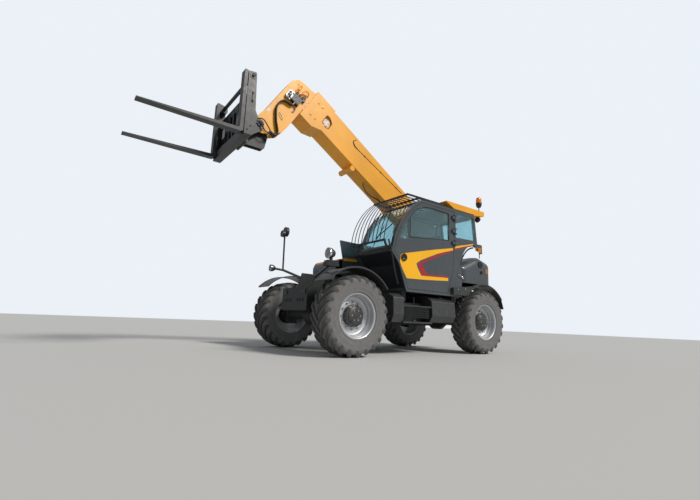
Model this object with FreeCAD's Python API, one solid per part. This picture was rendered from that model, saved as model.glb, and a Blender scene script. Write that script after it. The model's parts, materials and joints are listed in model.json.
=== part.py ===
"""Telehandler with its boom raised and its forks level.

Millimetres. X points forward, Y to the machine's left, Z up. The sizes below are
measured from the middle of the wheelbase, on the ground, and save() moves every
piece so that the origin is at the bottom centre of the bounding box.
"""
import FreeCAD, Part
import math
import os
from FreeCAD import Vector

os.makedirs("parts", exist_ok=True)

Y_AXIS = Vector(0, 1, 0)
Z_AXIS = Vector(0, 0, 1)

# Overall lengths from the middle of the wheelbase
TINE_REACH = 4520.0
TAIL_REACH = 2300.0

# Clearances
RUNNING_FIT = 0.05
SEAT_GAP = 0.3
MOVING_GAP = 6.0

# Wheels
WHEELBASE = 3000.0
FRONT_AXLE_X = WHEELBASE / 2.0
REAR_AXLE_X = -WHEELBASE / 2.0
TYRE_DIAMETER = 1160.0
TYRE_WIDTH = 420.0
TRACK = 1960.0
SIDEWALL = 275.0
BEAD_RADIUS = TYRE_DIAMETER / 2.0 - SIDEWALL
TYRE_WALL = 34.0
LUG_HEIGHT = 34.0
LUG_COUNT = 22
# Share of the half width, drop of the top and of the root from the tip, lead and half spread round the tyre (rad)
LUG_SECTIONS = (
    (0.04, 0.0, 60.0, 0.0, 0.024), (0.38, 0.0, 60.0, 0.20, 0.028),
    (0.76, 4.0, 70.0, 0.36, 0.032), (0.998, 65.0, 110.0, 0.415, 0.032))
RIM_FLANGE_HEIGHT = 22.0
RIM_WALL = 14.0
DISC_OFFSET = 20.0
DISC_WALL = 18.0
HUB_RADIUS = 132.0
HUB_REACH = 150.0
SPINDLE_RADIUS = 60.0
SPINDLE_LENGTH = 90.0

# Steering
KINGPIN_INSET = 120.0
KINGPIN_RADIUS = 34.0
KNUCKLE_RADIUS = 88.0
KNUCKLE_HEIGHT = 218.0
YOKE_THICKNESS = 40.0
YOKE_RADIUS = 78.0
BEAM_RADIUS = 92.0
DIFFERENTIAL_RADIUS = 170.0

# Main frame
FRAME_HALF_WIDTH = 245.0
FRAME_PLATE = 30.0
BELLY_Z = 475.0
RAIL_TOP_Z = 860.0
NOSE_X = FRONT_AXLE_X + 400.0
NOSE_HALF_WIDTH = 400.0
NOSE_BOX_TOP_Z = 1000.0
NOSE_TOP_Z = 1275.0
OUTRIGGER_Z = 860.0
OUTRIGGER_HALF_LENGTH = 990.0

# Tow hitch
TOW_PIN_RADIUS = 14.0
TOW_PIN_INSET = 28.0
TAIL_DEPTH = 130.0
TAIL_OVERHANG = 340.0
JAW_REACH = 60.0
JAW_LOW_Z = 560.0
JAW_GAP = 70.0
JAW_PLATE = 30.0

# Boom, in its own axes: S runs along it from the pivot, T stands square to it
PIVOT_X = REAR_AXLE_X - 500.0
PIVOT_Z = 1700.0
BOOM_ANGLE = 32.0
BOOM_WIDTH = 320.0
BOOM_LOW_T = -215.0
BOOM_HIGH_T = 290.0
BOOM_WALL = 12.0
BOOM_REAR_S = 260.0
BOOM_FRONT_S = 4300.0
COLLAR_FRONT_S = 4635.0
COLLAR_WALL = 16.0
COLLAR_DROP = 110.0
PORT_REAR_S = 4100.0
PORT_LENGTH = 165.0
PORT_MIDDLE_T = 5.0
PORT_HEIGHT = 200.0
INNER_GAP = 14.0
PAD_LENGTH = 260.0
INNER_WALL = 10.0
INNER_REAR_S = 420.0
PIVOT_PIN_RADIUS = 45.0
PIVOT_TUBE_RADIUS = 85.0

# Boom head, a hollow leg square to the boom
HEAD_REAR_S = 4640.0
HEAD_FRONT_S = 5070.0
HEAD_TOP_T = 205.0
HEAD_WIDTH = 260.0
HEAD_PLATE = 20.0
CARRIAGE_PIN_S = 4985.0
CARRIAGE_PIN_T = -1045.0
CARRIAGE_PIN_RADIUS = 35.0
VALVE_S = 4820.0
VALVE_LOW_T = -260.0
HOSE_COUNT = 2
HOSE_SPACING = 31.0
HOSE_RADIUS = 12.0
HOSE_END_S = 4800.0
HOSE_END_T = -1000.0
HOSE_ROUTE = (
    (VALVE_S - 8.0, -325.0), (4950.0, -364.0), (4995.0, -450.0), (4975.0, -590.0), (4847.0, -770.0),
    (4720.0, -890.0), (4690.0, -950.0))

# Tilt cylinder, inside the head
TILT_BASE_S = 4840.0
TILT_BASE_T = 0.0
TILT_EYE_S = 4785.0
TILT_EYE_T = -1105.0
TILT_BARREL_RADIUS = 55.0
TILT_BARREL_LENGTH = 700.0
TILT_ROD_RADIUS = 28.0
TILT_EYE_HALF_WIDTH = 24.0

# Lift cylinder, from the frame to the boom's underside
LIFT_BASE_X = REAR_AXLE_X - 250.0
LIFT_BASE_Z = 1000.0
LIFT_EYE_S = 1700.0
LIFT_EYE_T = -375.0
LIFT_BARREL_RADIUS = 75.0
LIFT_BARREL_LENGTH = 1340.0
LIFT_ROD_RADIUS = 40.0
LIFT_EYE_RADIUS = 60.0
LIFT_EYE_HALF_WIDTH = 44.0

# Fork carriage and forks
CARRIAGE_HALF_WIDTH = 660.0
CARRIAGE_REAR_X = 3075.0
CARRIAGE_FRONT_X = 3195.0
CARRIAGE_LOW_Z = 2990.0
CARRIAGE_TOP_Z = 3760.0
SIDE_PLATE_TOP_Z = 3950.0
FORK_SPACING = 1170.0
FORK_WIDTH = 120.0
FORK_THICKNESS = 50.0
FORK_TIP_THICKNESS = 16.0
FORK_LOW_Z = 3010.0
FORK_TOP_Z = 3950.0
SHAFT_RADIUS = 28.0
SHAFT_Z = 3880.0

# Room round the tyres
ARCH_ROOM = 115.0
FENDER_RADIUS = TYRE_DIAMETER / 2.0 + ARCH_ROOM
REAR_ARCH_X = REAR_AXLE_X + FENDER_RADIUS

# Cab
CAB_OUTER_Y = 1100.0
CAB_INNER_Y = 255.0
CAB_WALL = 40.0
CAB_FLOOR_Z = 1000.0
CAB_REAR_X = -1340.0
FIN_END_X = -1530.0
CAB_LOWER_REAR_X = REAR_ARCH_X - 100.0
CAB_ARCH_Z = 1985.0
CAB_ARCH_RADIUS = 400.0
ROOF_CAP_Z = 2730.0
MOUNT_X = (445.0, CAB_LOWER_REAR_X + 115.0)
CAB_ROOF_Z = 2600.0
GLASS = 8.0
PANE_DEPTH = 12.0
DOOR_REAR_X = -700.0
DOOR_LOW_REAR_X = -510.0
DOOR_BEND_Z = 1885.0
DOOR_WINDOW_REAR_X = -560.0
DOOR_GAP = 6.0
HINGE_RADIUS = 16.0

# Engine side, on the right
HOOD_FRONT_X = FRONT_AXLE_X - 560.0
HOOD_REAR_X = REAR_ARCH_X - 155.0
HOOD_OUTER_Y = -1060.0
SHIELD_PLATE = 20.0
HOOD_INNER_Y = -(FRAME_HALF_WIDTH + 1.0 + SHIELD_PLATE)
HOOD_TOP_Z = 1630.0
HOOD_LOW_Z = 975.0
HOOD_WALL = 25.0

# Fenders
FENDER_SHEET = 14.0
FENDER_OUTER_Y = 1170.0
FENDER_INNER_Y = 760.0

# Boom rest boss and collar
REST_BOSS_S = 3330.0
REST_BOSS_T = -290.0
REST_BOSS_RADIUS = 50.0
REST_BOSS_HALF_WIDTH = 185.0
COLLAR_REAR_S = 4190.0

# Fork bar
SHAFT_X = 3130.0
SLAT_COUNT = 8

# Door, hinges and guard
DOOR_FRAME = 45.0
DOOR_RIM = 62.0
DOOR_BAR_X = 445.0
SILL_FRONT_Z = 1800.0
SILL_RISE = 260.0
DOOR_HINGE_Z = (DOOR_BEND_Z + 45.0, DOOR_BEND_Z + 265.0, DOOR_BEND_Z + 515.0)
HINGE_REACH = 40.0
HINGE_Y = 1124.0
HINGE_PIN_RADIUS = 8.0
LATCH_X = 575.0
LATCH_Z = 1540.0
GUARD_FRONT_X = 485.0
GUARD_LOW_Y = 215.0
GUARD_HIGH_Y = 1090.0
GUARD_Z = 2615.0
GUARD_BAR = 26.0
GUARD_BARS = 10
GUARD_BASE_X = 960.0
GUARD_BASE_Z = 1776.0
CAB_MIDDLE_Y = (CAB_OUTER_Y + CAB_INNER_Y) / 2.0

# Body pieces
TANK_REAR_X = CAB_LOWER_REAR_X + 225.0
TANK_FRONT_X = -90.0
BOX_FRONT_X = FRONT_AXLE_X - 715.0
STEP_FRONT_X = BOX_FRONT_X - 225.0
STEP_OUTER_Y = 1122.0
STEP_LOW_Z = 506.0
STEP_HIGH_Z = 765.0
STEP_PLATE = 24.0
HOOD_GAP = 12.0
HOOD_BARREL_RADIUS = 14.0
HOOD_HINGE_Y = HOOD_INNER_Y - MOVING_GAP - HOOD_BARREL_RADIUS
HOOD_HINGE_Z = HOOD_TOP_Z + 25.0
COVER_LOW_Z = TYRE_DIAMETER / 2.0 + FENDER_RADIUS + SEAT_GAP
COVER_FRONT_RISE = 324.7
COVER_MIDDLE_RISE = 514.7
COVER_TOP_RISE = 539.7
COVER_REAR_RISE = 444.7
LAMP_X = FRONT_AXLE_X + 400.0
LAMP_Y = 955.0
LEFT_LAMP_Z = 1450.0
RIGHT_LAMP_Z = 1400.0
LAMP_ARM_FOOT_Z = 1190.0

AXLE_Z = TYRE_DIAMETER / 2.0
ORIGIN_X = -(TINE_REACH - TAIL_REACH) / 2.0


def save(node, shape):
    """Write one piece, moved to the bounding box's origin."""
    shape = shape.copy()
    shape.translate(Vector(ORIGIN_X, 0, 0))
    shape.exportStep("parts/" + node + ".step")


def fuse(shapes):
    """Join solids into one piece with no seams."""
    first = shapes[0]
    return first.fuse(shapes[1:]).removeSplitter() if len(shapes) > 1 else first


def apart(shapes):
    """Keep solids that do not touch in one node."""
    return Part.makeCompound(shapes)


def box(x_low, x_high, y_low, y_high, z_low, z_high):
    """A block between its low and high faces."""
    size = (x_high - x_low, y_high - y_low, z_high - z_low)
    return Part.makeBox(*size, Vector(x_low, y_low, z_low))


def rod(start, end, radius):
    """A round bar between two points."""
    start, end = Vector(*start), Vector(*end)
    return Part.makeCylinder(radius, (end - start).Length, start, end - start)


def across(x, z, y_low, y_high, radius):
    """A round bar along Y."""
    return Part.makeCylinder(radius, y_high - y_low, Vector(x, y_low, z), Y_AXIS)


def outline(points, lift):
    """A face from corners (a, b, radius), each rounded by its own radius, placed by lift(a, b)."""
    corners = [Vector(p[0], p[1], 0) for p in points]
    radii = [p[2] if len(p) > 2 else 0.0 for p in points]
    count = len(points)
    edges = []
    ends = []
    for i, corner in enumerate(corners):
        before = (corners[i - 1] - corner).normalize()
        after = (corners[(i + 1) % count] - corner).normalize()
        if radii[i] == 0.0:
            ends.append((corner, corner, None))
            continue
        half = before.getAngle(after) / 2.0
        tangent = radii[i] / math.tan(half)
        middle = (before + after).normalize()
        centre = corner + middle * (radii[i] / math.sin(half))
        ends.append((corner + before * tangent, corner + after * tangent, centre - middle * radii[i]))
    place = [tuple(None if p is None else lift(p.x, p.y) for p in end) for end in ends]
    for i, (start, end, crest) in enumerate(place):
        if crest is not None:
            edges.append(Part.Arc(start, crest, end).toShape())
        following = place[(i + 1) % count][0]
        if (following - end).Length > 1e-6:
            edges.append(Part.LineSegment(end, following).toShape())
    return Part.Face(Part.Wire(edges))


def side_plate(points, y_low, y_high):
    """An outline in X and Z, as thick as the span in Y."""
    face = outline(points, lambda x, z: Vector(x, y_low, z))
    return face.extrude(Vector(0, y_high - y_low, 0))


def floor_plate(points, z_low, z_high):
    """An outline in X and Y, as thick as the span in Z."""
    face = outline(points, lambda x, y: Vector(x, y, z_low))
    return face.extrude(Vector(0, 0, z_high - z_low))


def cross_plate(points, x_low, x_high):
    """An outline in Y and Z, as thick as the span in X."""
    face = outline(points, lambda y, z: Vector(x_low, y, z))
    return face.extrude(Vector(x_high - x_low, 0, 0))


def spin(points, centre=Vector(0, 0, 0), axis=Y_AXIS):
    """A solid turned about Y from corners (radius, along, rounding)."""
    face = outline(points, lambda r, y: Vector(r, y, 0))
    solid = face.revolve(Vector(0, 0, 0), Y_AXIS, 360.0)
    if axis != Y_AXIS:
        solid.rotate(Vector(0, 0, 0), Y_AXIS.cross(axis), math.degrees(Y_AXIS.getAngle(axis)))
    solid.translate(centre)
    return solid


def facet(corners):
    """A flat face through its corners."""
    return Part.Face(Part.makePolygon(corners + corners[:1]))


def cord(points, radius):
    """A hose of straight runs joined by tangent arcs, each as wide as its shorter run allows."""
    edges = []
    start = points[0]
    for before, corner, after in zip(points, points[1:], points[2:]):
        back, ahead = before - corner, after - corner
        half_turn = (math.pi - back.getAngle(ahead)) / 2.0
        reach = 0.45 * min(back.Length, ahead.Length)
        bend = reach / math.tan(half_turn)
        print("hose bend radius", round(bend, 1))
        back.normalize()
        ahead.normalize()
        inward = back + ahead
        inward.normalize()
        first = corner + back * reach
        last = corner + ahead * reach
        middle = corner + inward * (bend / math.cos(half_turn) - bend)
        edges.append(Part.LineSegment(start, first).toShape())
        edges.append(Part.Arc(first, middle, last).toShape())
        start = last
    edges.append(Part.LineSegment(start, points[-1]).toShape())
    ring = Part.Wire(Part.Circle(points[0], points[1] - points[0], radius).toShape())
    return Part.Wire(edges).makePipeShell([ring], True, False)


def mirrored(shape):
    """The same piece on the other side of the machine."""
    return shape.mirror(Vector(0, 0, 0), Y_AXIS)


def boom_place(shape):
    """Turn a shape drawn with S along X and T along Z into the raised boom's place."""
    shape = shape.copy()
    shape.rotate(Vector(0, 0, 0), Y_AXIS, -BOOM_ANGLE)
    shape.translate(Vector(PIVOT_X, 0, PIVOT_Z))
    return shape


def boom_point(along, square):
    """The machine's X and Z of a point given in the boom's axes."""
    angle = math.radians(BOOM_ANGLE)
    x = PIVOT_X + along * math.cos(angle) - square * math.sin(angle)
    z = PIVOT_Z + along * math.sin(angle) + square * math.cos(angle)
    return x, z


def aim(shape, start, end):
    """Turn a shape drawn along X from the origin so that it points from start to end in X and Z."""
    shape = shape.copy()
    angle = math.degrees(math.atan2(end[1] - start[1], end[0] - start[0]))
    shape.rotate(Vector(0, 0, 0), Y_AXIS, -angle)
    shape.translate(Vector(start[0], 0, start[1]))
    return shape


def tread_lug(side):
    """One tread lug: four-cornered sections carried outwards and ahead round the tyre, its walls in flat facets."""
    tip = TYRE_DIAMETER / 2.0
    half = TYRE_WIDTH / 2.0
    rows = []
    for out, drop, root, lead, spread in LUG_SECTIONS:
        corners = ((tip - root, -1.5), (tip - drop, -1.0), (tip - drop, 1.0), (tip - root, 1.5))
        row = []
        for radius, share in corners:
            turn = lead + share * spread
            row.append(Vector(radius * math.cos(turn), side * out * half, radius * math.sin(turn)))
        rows.append(row)
    faces = [facet(rows[0]), facet(rows[-1])]
    for near, far in zip(rows, rows[1:]):
        for i in range(4):
            j = (i + 1) % 4
            faces.append(facet([near[i], near[j], far[j]]))
            faces.append(facet([near[i], far[j], far[i]]))
    return Part.makeSolid(Part.makeShell(faces))


def carcass():
    """Open carcass on its beads, with its axis along Y."""
    tip = TYRE_DIAMETER / 2.0
    half = TYRE_WIDTH / 2.0
    bead = half - 42.0
    inner = BEAD_RADIUS + 40.0
    lining = tip - LUG_HEIGHT - TYRE_WALL
    return spin([
        (BEAD_RADIUS, -bead), (BEAD_RADIUS + 60.0, -half + 12.0), (tip - 130.0, -half + 7.0),
        (tip - 80.0, -half + 18.0), (lining + 20.0, -half + 70.0), (lining + 20.0, half - 70.0),
        (tip - 80.0, half - 18.0), (tip - 130.0, half - 7.0), (BEAD_RADIUS + 60.0, half - 12.0),
        (BEAD_RADIUS, bead), (BEAD_RADIUS, bead - TYRE_WALL), (inner, bead - TYRE_WALL),
        (tip - 150.0, half - TYRE_WALL - 5.0), (lining, half - 3.0 * TYRE_WALL),
        (lining, -half + 3.0 * TYRE_WALL), (tip - 150.0, -half + TYRE_WALL + 5.0),
        (inner, -bead + TYRE_WALL), (BEAD_RADIUS, -bead + TYRE_WALL),
    ])


def tread_band():
    """The band under the lugs: its section turned about the axle in flat facets, two to a lug."""
    tip = TYRE_DIAMETER / 2.0
    half = TYRE_WIDTH / 2.0
    crown = tip - LUG_HEIGHT
    side = [
        (crown, half - 90.0), (crown - 10.0, half - 34.0), (tip - 70.0, half - 12.0), (tip - 124.0, half - 5.0),
        (tip - 124.0, half - 25.0), (tip - 90.0, half - 35.0), (crown - 25.0, half - 90.0)]
    section = side + [(radius, -y) for radius, y in reversed(side)]
    count = 2 * LUG_COUNT
    rows = []
    for i in range(count):
        turn = 2.0 * math.pi * i / count
        rows.append([Vector(radius * math.cos(turn), y, radius * math.sin(turn)) for radius, y in section])
    faces = []
    for near, far in zip(rows, rows[1:] + rows[:1]):
        for i in range(len(section)):
            faces.append(facet([near[i - 1], near[i], far[i], far[i - 1]]))
    return Part.makeSolid(Part.makeShell(faces))


def tyre():
    """Carcass with two rows of lugs, the second half a pitch on from the first."""
    pitch = 360.0 / LUG_COUNT
    lugs = []
    for side, start in ((1, 0.0), (-1, pitch / 2.0)):
        lug = tread_lug(side)
        for i in range(LUG_COUNT):
            placed = lug.copy()
            placed.rotate(Vector(0, 0, 0), Y_AXIS, start + i * pitch)
            lugs.append(placed)
    return fuse([carcass(), tread_band()] + lugs)


def rim():
    """Rim, disc and closed planetary hub in one piece, its outer side towards +Y."""
    seat = BEAD_RADIUS - SEAT_GAP
    half = TYRE_WIDTH / 2.0 - 42.0
    flange = BEAD_RADIUS + RIM_FLANGE_HEIGHT
    lip = half + 20.0
    barrel = spin([
        (seat, -half - SEAT_GAP), (flange, -half - 12.0), (flange, -lip), (flange - RIM_WALL, -lip),
        (seat - RIM_WALL, -half + 10.0), (seat - RIM_WALL, half - 10.0), (flange - RIM_WALL, lip),
        (flange, lip), (flange, half + 12.0), (seat, half + SEAT_GAP),
    ])
    disc = spin([
        (SPINDLE_RADIUS + RUNNING_FIT, DISC_OFFSET), (seat - RIM_WALL, DISC_OFFSET),
        (seat - RIM_WALL, DISC_OFFSET + DISC_WALL), (HUB_RADIUS + 30.0, DISC_OFFSET + DISC_WALL),
        (HUB_RADIUS, DISC_OFFSET + 60.0), (HUB_RADIUS, HUB_REACH - 30.0, 12.0),
        (HUB_RADIUS - 40.0, HUB_REACH), (0.0, HUB_REACH),
        (0.0, DISC_OFFSET + SPINDLE_LENGTH + MOVING_GAP),
        (SPINDLE_RADIUS + RUNNING_FIT, DISC_OFFSET + SPINDLE_LENGTH + MOVING_GAP),
    ])
    return fuse([barrel, disc])


def knuckle():
    """Steering knuckle about its kingpin, its wheel side towards +Y from the kingpin axis."""
    half = KNUCKLE_HEIGHT / 2.0
    ear = half + MOVING_GAP
    body = Part.makeCylinder(KNUCKLE_RADIUS, KNUCKLE_HEIGHT, Vector(0, 0, -half))
    pins = Part.makeCylinder(KINGPIN_RADIUS, 2.0 * (ear + YOKE_THICKNESS), Vector(0, 0, -ear - YOKE_THICKNESS))
    face_y = KINGPIN_INSET + DISC_OFFSET - MOVING_GAP
    flange = across(0, 0, 0, face_y, KNUCKLE_RADIUS + 14.0)
    spindle = across(0, 0, 0, face_y + MOVING_GAP + SPINDLE_LENGTH, SPINDLE_RADIUS)
    trim = box(-200, 200, 0, face_y, -half, half)
    arm = box(60.0, 130.0, -10.0, 50.0, -25.0, 25.0)
    return fuse([body, pins, flange.common(trim), spindle, arm])


def axle(x):
    """Axle beam with its differential and the two yokes that hold the kingpins."""
    kingpin_y = TRACK / 2.0 - KINGPIN_INSET
    ear = KNUCKLE_HEIGHT / 2.0 + MOVING_GAP
    back = kingpin_y - KNUCKLE_RADIUS - MOVING_GAP
    beam = spin([
        (0.0, -back), (BEAM_RADIUS, -back), (BEAM_RADIUS - 12.0, -DIFFERENTIAL_RADIUS - 60.0),
        (DIFFERENTIAL_RADIUS, -90.0, 30.0), (DIFFERENTIAL_RADIUS, 90.0, 30.0),
        (BEAM_RADIUS - 12.0, DIFFERENTIAL_RADIUS + 60.0), (BEAM_RADIUS, back), (0.0, back),
    ])
    pieces = [beam]
    for side in (-1, 1):
        near = side * (back - 30.0)
        far = side * back
        pieces.append(box(-BEAM_RADIUS, BEAM_RADIUS, min(near, far), max(near, far), -ear, ear))
        for low in (-ear - YOKE_THICKNESS, ear):
            lug = floor_plate([
                (-BEAM_RADIUS, near), (BEAM_RADIUS, near), (YOKE_RADIUS, side * kingpin_y),
                (-YOKE_RADIUS, side * kingpin_y)], low, low + YOKE_THICKNESS)
            disc = Part.makeCylinder(YOKE_RADIUS, YOKE_THICKNESS, Vector(0, side * kingpin_y, low))
            pieces += [lug, disc]
    solid = fuse(pieces)
    for side in (-1, 1):
        bore = Part.makeCylinder(
            KINGPIN_RADIUS + RUNNING_FIT, 4.0 * ear, Vector(0, side * kingpin_y, -2.0 * ear))
        solid = solid.cut(bore)
    saddle = box(-110, 110, -190, 190, 60.0, RAIL_TOP_Z - AXLE_Z - SEAT_GAP)
    solid = fuse([solid, saddle])
    solid.translate(Vector(x, 0, AXLE_Z))
    return solid


def frame():
    """Main frame: two side plates, nose box, boom tower, outriggers and cross members."""
    inner = FRAME_HALF_WIDTH - FRAME_PLATE
    front_x, rear_x = FRONT_AXLE_X, REAR_AXLE_X
    tail_x = -TAIL_REACH + TAIL_DEPTH
    pieces = []
    for side in (-1, 1):
        y_low, y_high = sorted((side * inner, side * FRAME_HALF_WIDTH))
        pieces.append(side_plate([
            (front_x + 230.0, RAIL_TOP_Z), (front_x + 230.0, NOSE_BOX_TOP_Z), (front_x + 150.0, NOSE_TOP_Z),
            (front_x - 40.0, NOSE_TOP_Z), (front_x - 160.0, 1130.0), (front_x - 500.0, 1060.0, 60.0),
            (front_x - 700.0, 960.0, 60.0), (rear_x + 700.0, 960.0, 80.0), (rear_x + 260.0, 1320.0, 120.0),
            (PIVOT_X + 190.0, PIVOT_Z + 60.0, 110.0), (PIVOT_X + 60.0, PIVOT_Z + 170.0, 60.0),
            (PIVOT_X - 150.0, PIVOT_Z + 150.0, 100.0), (PIVOT_X - 170.0, PIVOT_Z - 100.0),
            (tail_x, 1150.0), (tail_x, 620.0), (tail_x + TAIL_OVERHANG, 620.0),
            (tail_x + TAIL_OVERHANG, RAIL_TOP_Z), (rear_x + 330.0, RAIL_TOP_Z), (rear_x + 420.0, BELLY_Z, 40.0),
            (front_x - 420.0, BELLY_Z, 40.0), (front_x - 330.0, RAIL_TOP_Z)], y_low, y_high))
    pieces.append(box(front_x + 220.0, NOSE_X, -NOSE_HALF_WIDTH, NOSE_HALF_WIDTH, 640.0, NOSE_BOX_TOP_Z))
    pieces.append(box(front_x + 150.0, front_x + 230.0, -FRAME_HALF_WIDTH, FRAME_HALF_WIDTH, RAIL_TOP_Z, 960.0))
    pieces.append(box(rear_x + 440.0, front_x - 440.0, -inner, inner, BELLY_Z, BELLY_Z + 25.0))
    pieces.append(box(front_x - 330.0, front_x + 230.0, -inner, inner, RAIL_TOP_Z, RAIL_TOP_Z + 30.0))
    pieces.append(box(rear_x - 330.0, rear_x + 330.0, -inner, inner, RAIL_TOP_Z, RAIL_TOP_Z + 30.0))
    pieces.append(box(tail_x, tail_x + 40.0, -inner, inner, 640.0, 1140.0))
    reach = OUTRIGGER_HALF_LENGTH
    for x in MOUNT_X:
        pieces.append(box(x - 45.0, x + 45.0, 0.0, reach, OUTRIGGER_Z, CAB_FLOOR_Z - SEAT_GAP))
        pieces.append(box(x - 45.0, x + 45.0, -reach, 0.0, OUTRIGGER_Z, HOOD_LOW_Z - SEAT_GAP))
    for side in (-1, 1):
        y_low, y_high = sorted((side * (LIFT_EYE_HALF_WIDTH + MOVING_GAP), side * 90.0))
        pieces.append(side_plate([
            (LIFT_BASE_X - 110.0, RAIL_TOP_Z + 20.0), (LIFT_BASE_X + 110.0, RAIL_TOP_Z + 20.0),
            (LIFT_BASE_X + 55.0, LIFT_BASE_Z + 55.0, 50.0), (LIFT_BASE_X - 55.0, LIFT_BASE_Z + 55.0, 50.0)],
            y_low, y_high))
    pieces.append(across(LIFT_BASE_X, LIFT_BASE_Z, -100.0, 100.0, KINGPIN_RADIUS))
    pieces.append(across(PIVOT_X, PIVOT_Z, -FRAME_HALF_WIDTH - 20.0, FRAME_HALF_WIDTH + 20.0, PIVOT_PIN_RADIUS))
    return fuse(pieces)


def tail_block():
    """Cast counterweight at the tail with its tow hitch jaw."""
    front = -TAIL_REACH + TAIL_DEPTH - SEAT_GAP
    back = -TAIL_REACH + JAW_REACH
    solid = [
        box(back, front, -380.0, 380.0, 700.0, 1140.0),
        box(back, front, -70.0, 70.0, JAW_LOW_Z, 710.0)]
    for z in (JAW_LOW_Z, JAW_LOW_Z + JAW_PLATE + JAW_GAP):
        solid.append(floor_plate([
            (front, -70.0), (front, 70.0), (back, 70.0), (-TAIL_REACH, 45.0, 24.0),
            (-TAIL_REACH, -45.0, 24.0), (back, -70.0)], z, z + JAW_PLATE))
    depth = 2.0 * JAW_PLATE + JAW_GAP + 2.0
    hole = Part.makeCylinder(TOW_PIN_RADIUS, depth, Vector(-TAIL_REACH + TOW_PIN_INSET, 0, JAW_LOW_Z - 1.0))
    return fuse(solid).cut(hole)


def boom_port():
    """Access port through the boom's and the collar's side walls."""
    low, high = PORT_MIDDLE_T - PORT_HEIGHT / 2.0, PORT_MIDDLE_T + PORT_HEIGHT / 2.0
    return side_plate([
        (PORT_REAR_S, low, 30.0), (PORT_REAR_S, high - 50.0, 30.0), (PORT_REAR_S + 60.0, high, 30.0),
        (PORT_REAR_S + PORT_LENGTH, high, 30.0), (PORT_REAR_S + PORT_LENGTH, low, 30.0)], -BOOM_WIDTH, BOOM_WIDTH)


def boom_outer():
    """Fixed boom section: a box on its pivot tube, with the lift cylinder's ears and the rest boss."""
    half = BOOM_WIDTH / 2.0
    pieces = []
    for side in (-1, 1):
        y_low, y_high = sorted((side * (half - BOOM_WALL), side * half))
        pieces.append(side_plate([
            (-120.0, -60.0, 80.0), (-120.0, 180.0, 80.0), (-30.0, BOOM_HIGH_T, 60.0),
            (BOOM_FRONT_S, BOOM_HIGH_T), (BOOM_FRONT_S, BOOM_LOW_T), (BOOM_REAR_S, BOOM_LOW_T, 200.0),
            (60.0, -130.0, 90.0)], y_low, y_high))
        ear_low, ear_high = sorted((side * (LIFT_EYE_HALF_WIDTH + 15.0), side * (LIFT_EYE_HALF_WIDTH + 40.0)))
        pieces.append(side_plate([
            (LIFT_EYE_S - 150.0, BOOM_LOW_T), (LIFT_EYE_S - 60.0, LIFT_EYE_T - 60.0, 50.0),
            (LIFT_EYE_S + 60.0, LIFT_EYE_T - 60.0, 50.0), (LIFT_EYE_S + 150.0, BOOM_LOW_T)], ear_low, ear_high))
    pieces.append(box(20.0, BOOM_FRONT_S, -half, half, BOOM_HIGH_T - BOOM_WALL, BOOM_HIGH_T))
    pieces.append(box(BOOM_REAR_S, BOOM_FRONT_S, -half, half, BOOM_LOW_T, BOOM_LOW_T + BOOM_WALL))
    tube_half = FRAME_HALF_WIDTH - FRAME_PLATE - MOVING_GAP
    pieces.append(across(0.0, 0.0, -tube_half, tube_half, PIVOT_TUBE_RADIUS))
    pieces.append(across(REST_BOSS_S, REST_BOSS_T, -REST_BOSS_HALF_WIDTH, REST_BOSS_HALF_WIDTH, REST_BOSS_RADIUS))
    pieces.append(box(REST_BOSS_S - 35.0, REST_BOSS_S + 35.0, -100.0, 100.0, REST_BOSS_T, BOOM_LOW_T))
    solid = fuse(pieces)
    solid = solid.cut(boom_port())
    return solid.cut(across(0.0, 0.0, -half * 2.0, half * 2.0, PIVOT_PIN_RADIUS + RUNNING_FIT))


def inner_size():
    """Half width, low T and high T of the sliding section."""
    clear = BOOM_WALL + INNER_GAP
    return BOOM_WIDTH / 2.0 - clear, BOOM_LOW_T + clear, BOOM_HIGH_T - clear


def boom_collar():
    """Deep collar welded round the boom's front, in which the sliding section runs."""
    half = BOOM_WIDTH / 2.0 + COLLAR_WALL
    inner_half, inner_low, inner_high = inner_size()
    solid = side_plate([
        (COLLAR_REAR_S, BOOM_HIGH_T + COLLAR_WALL), (COLLAR_FRONT_S, BOOM_HIGH_T + COLLAR_WALL),
        (COLLAR_FRONT_S, BOOM_LOW_T - COLLAR_DROP), (COLLAR_FRONT_S - 270.0, BOOM_LOW_T - COLLAR_DROP, 20.0),
        (COLLAR_REAR_S, BOOM_LOW_T - COLLAR_WALL)], -half, half)
    seat = box(
        COLLAR_REAR_S - 1.0, BOOM_FRONT_S, -BOOM_WIDTH / 2.0 - SEAT_GAP, BOOM_WIDTH / 2.0 + SEAT_GAP,
        BOOM_LOW_T - SEAT_GAP, BOOM_HIGH_T + SEAT_GAP)
    bore = box(
        BOOM_FRONT_S - 1.0, COLLAR_FRONT_S + 1.0, -inner_half - SEAT_GAP, inner_half + SEAT_GAP,
        inner_low - SEAT_GAP, inner_high + SEAT_GAP)
    return solid.cut(seat).cut(bore).cut(boom_port())


def boom_inner():
    """Sliding section, a box tube with its rear wear pads."""
    half, low, high = inner_size()
    tube = box(INNER_REAR_S, HEAD_REAR_S, -half, half, low, high)
    pad = INNER_GAP - SEAT_GAP
    pads = box(INNER_REAR_S, INNER_REAR_S + PAD_LENGTH, -half - pad, half + pad, low - pad, high + pad)
    hollow = box(
        INNER_REAR_S - 1.0, HEAD_REAR_S + 1.0, -half + INNER_WALL, half - INNER_WALL,
        low + INNER_WALL, high - INNER_WALL)
    return fuse([tube, pads]).cut(hollow)


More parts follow.
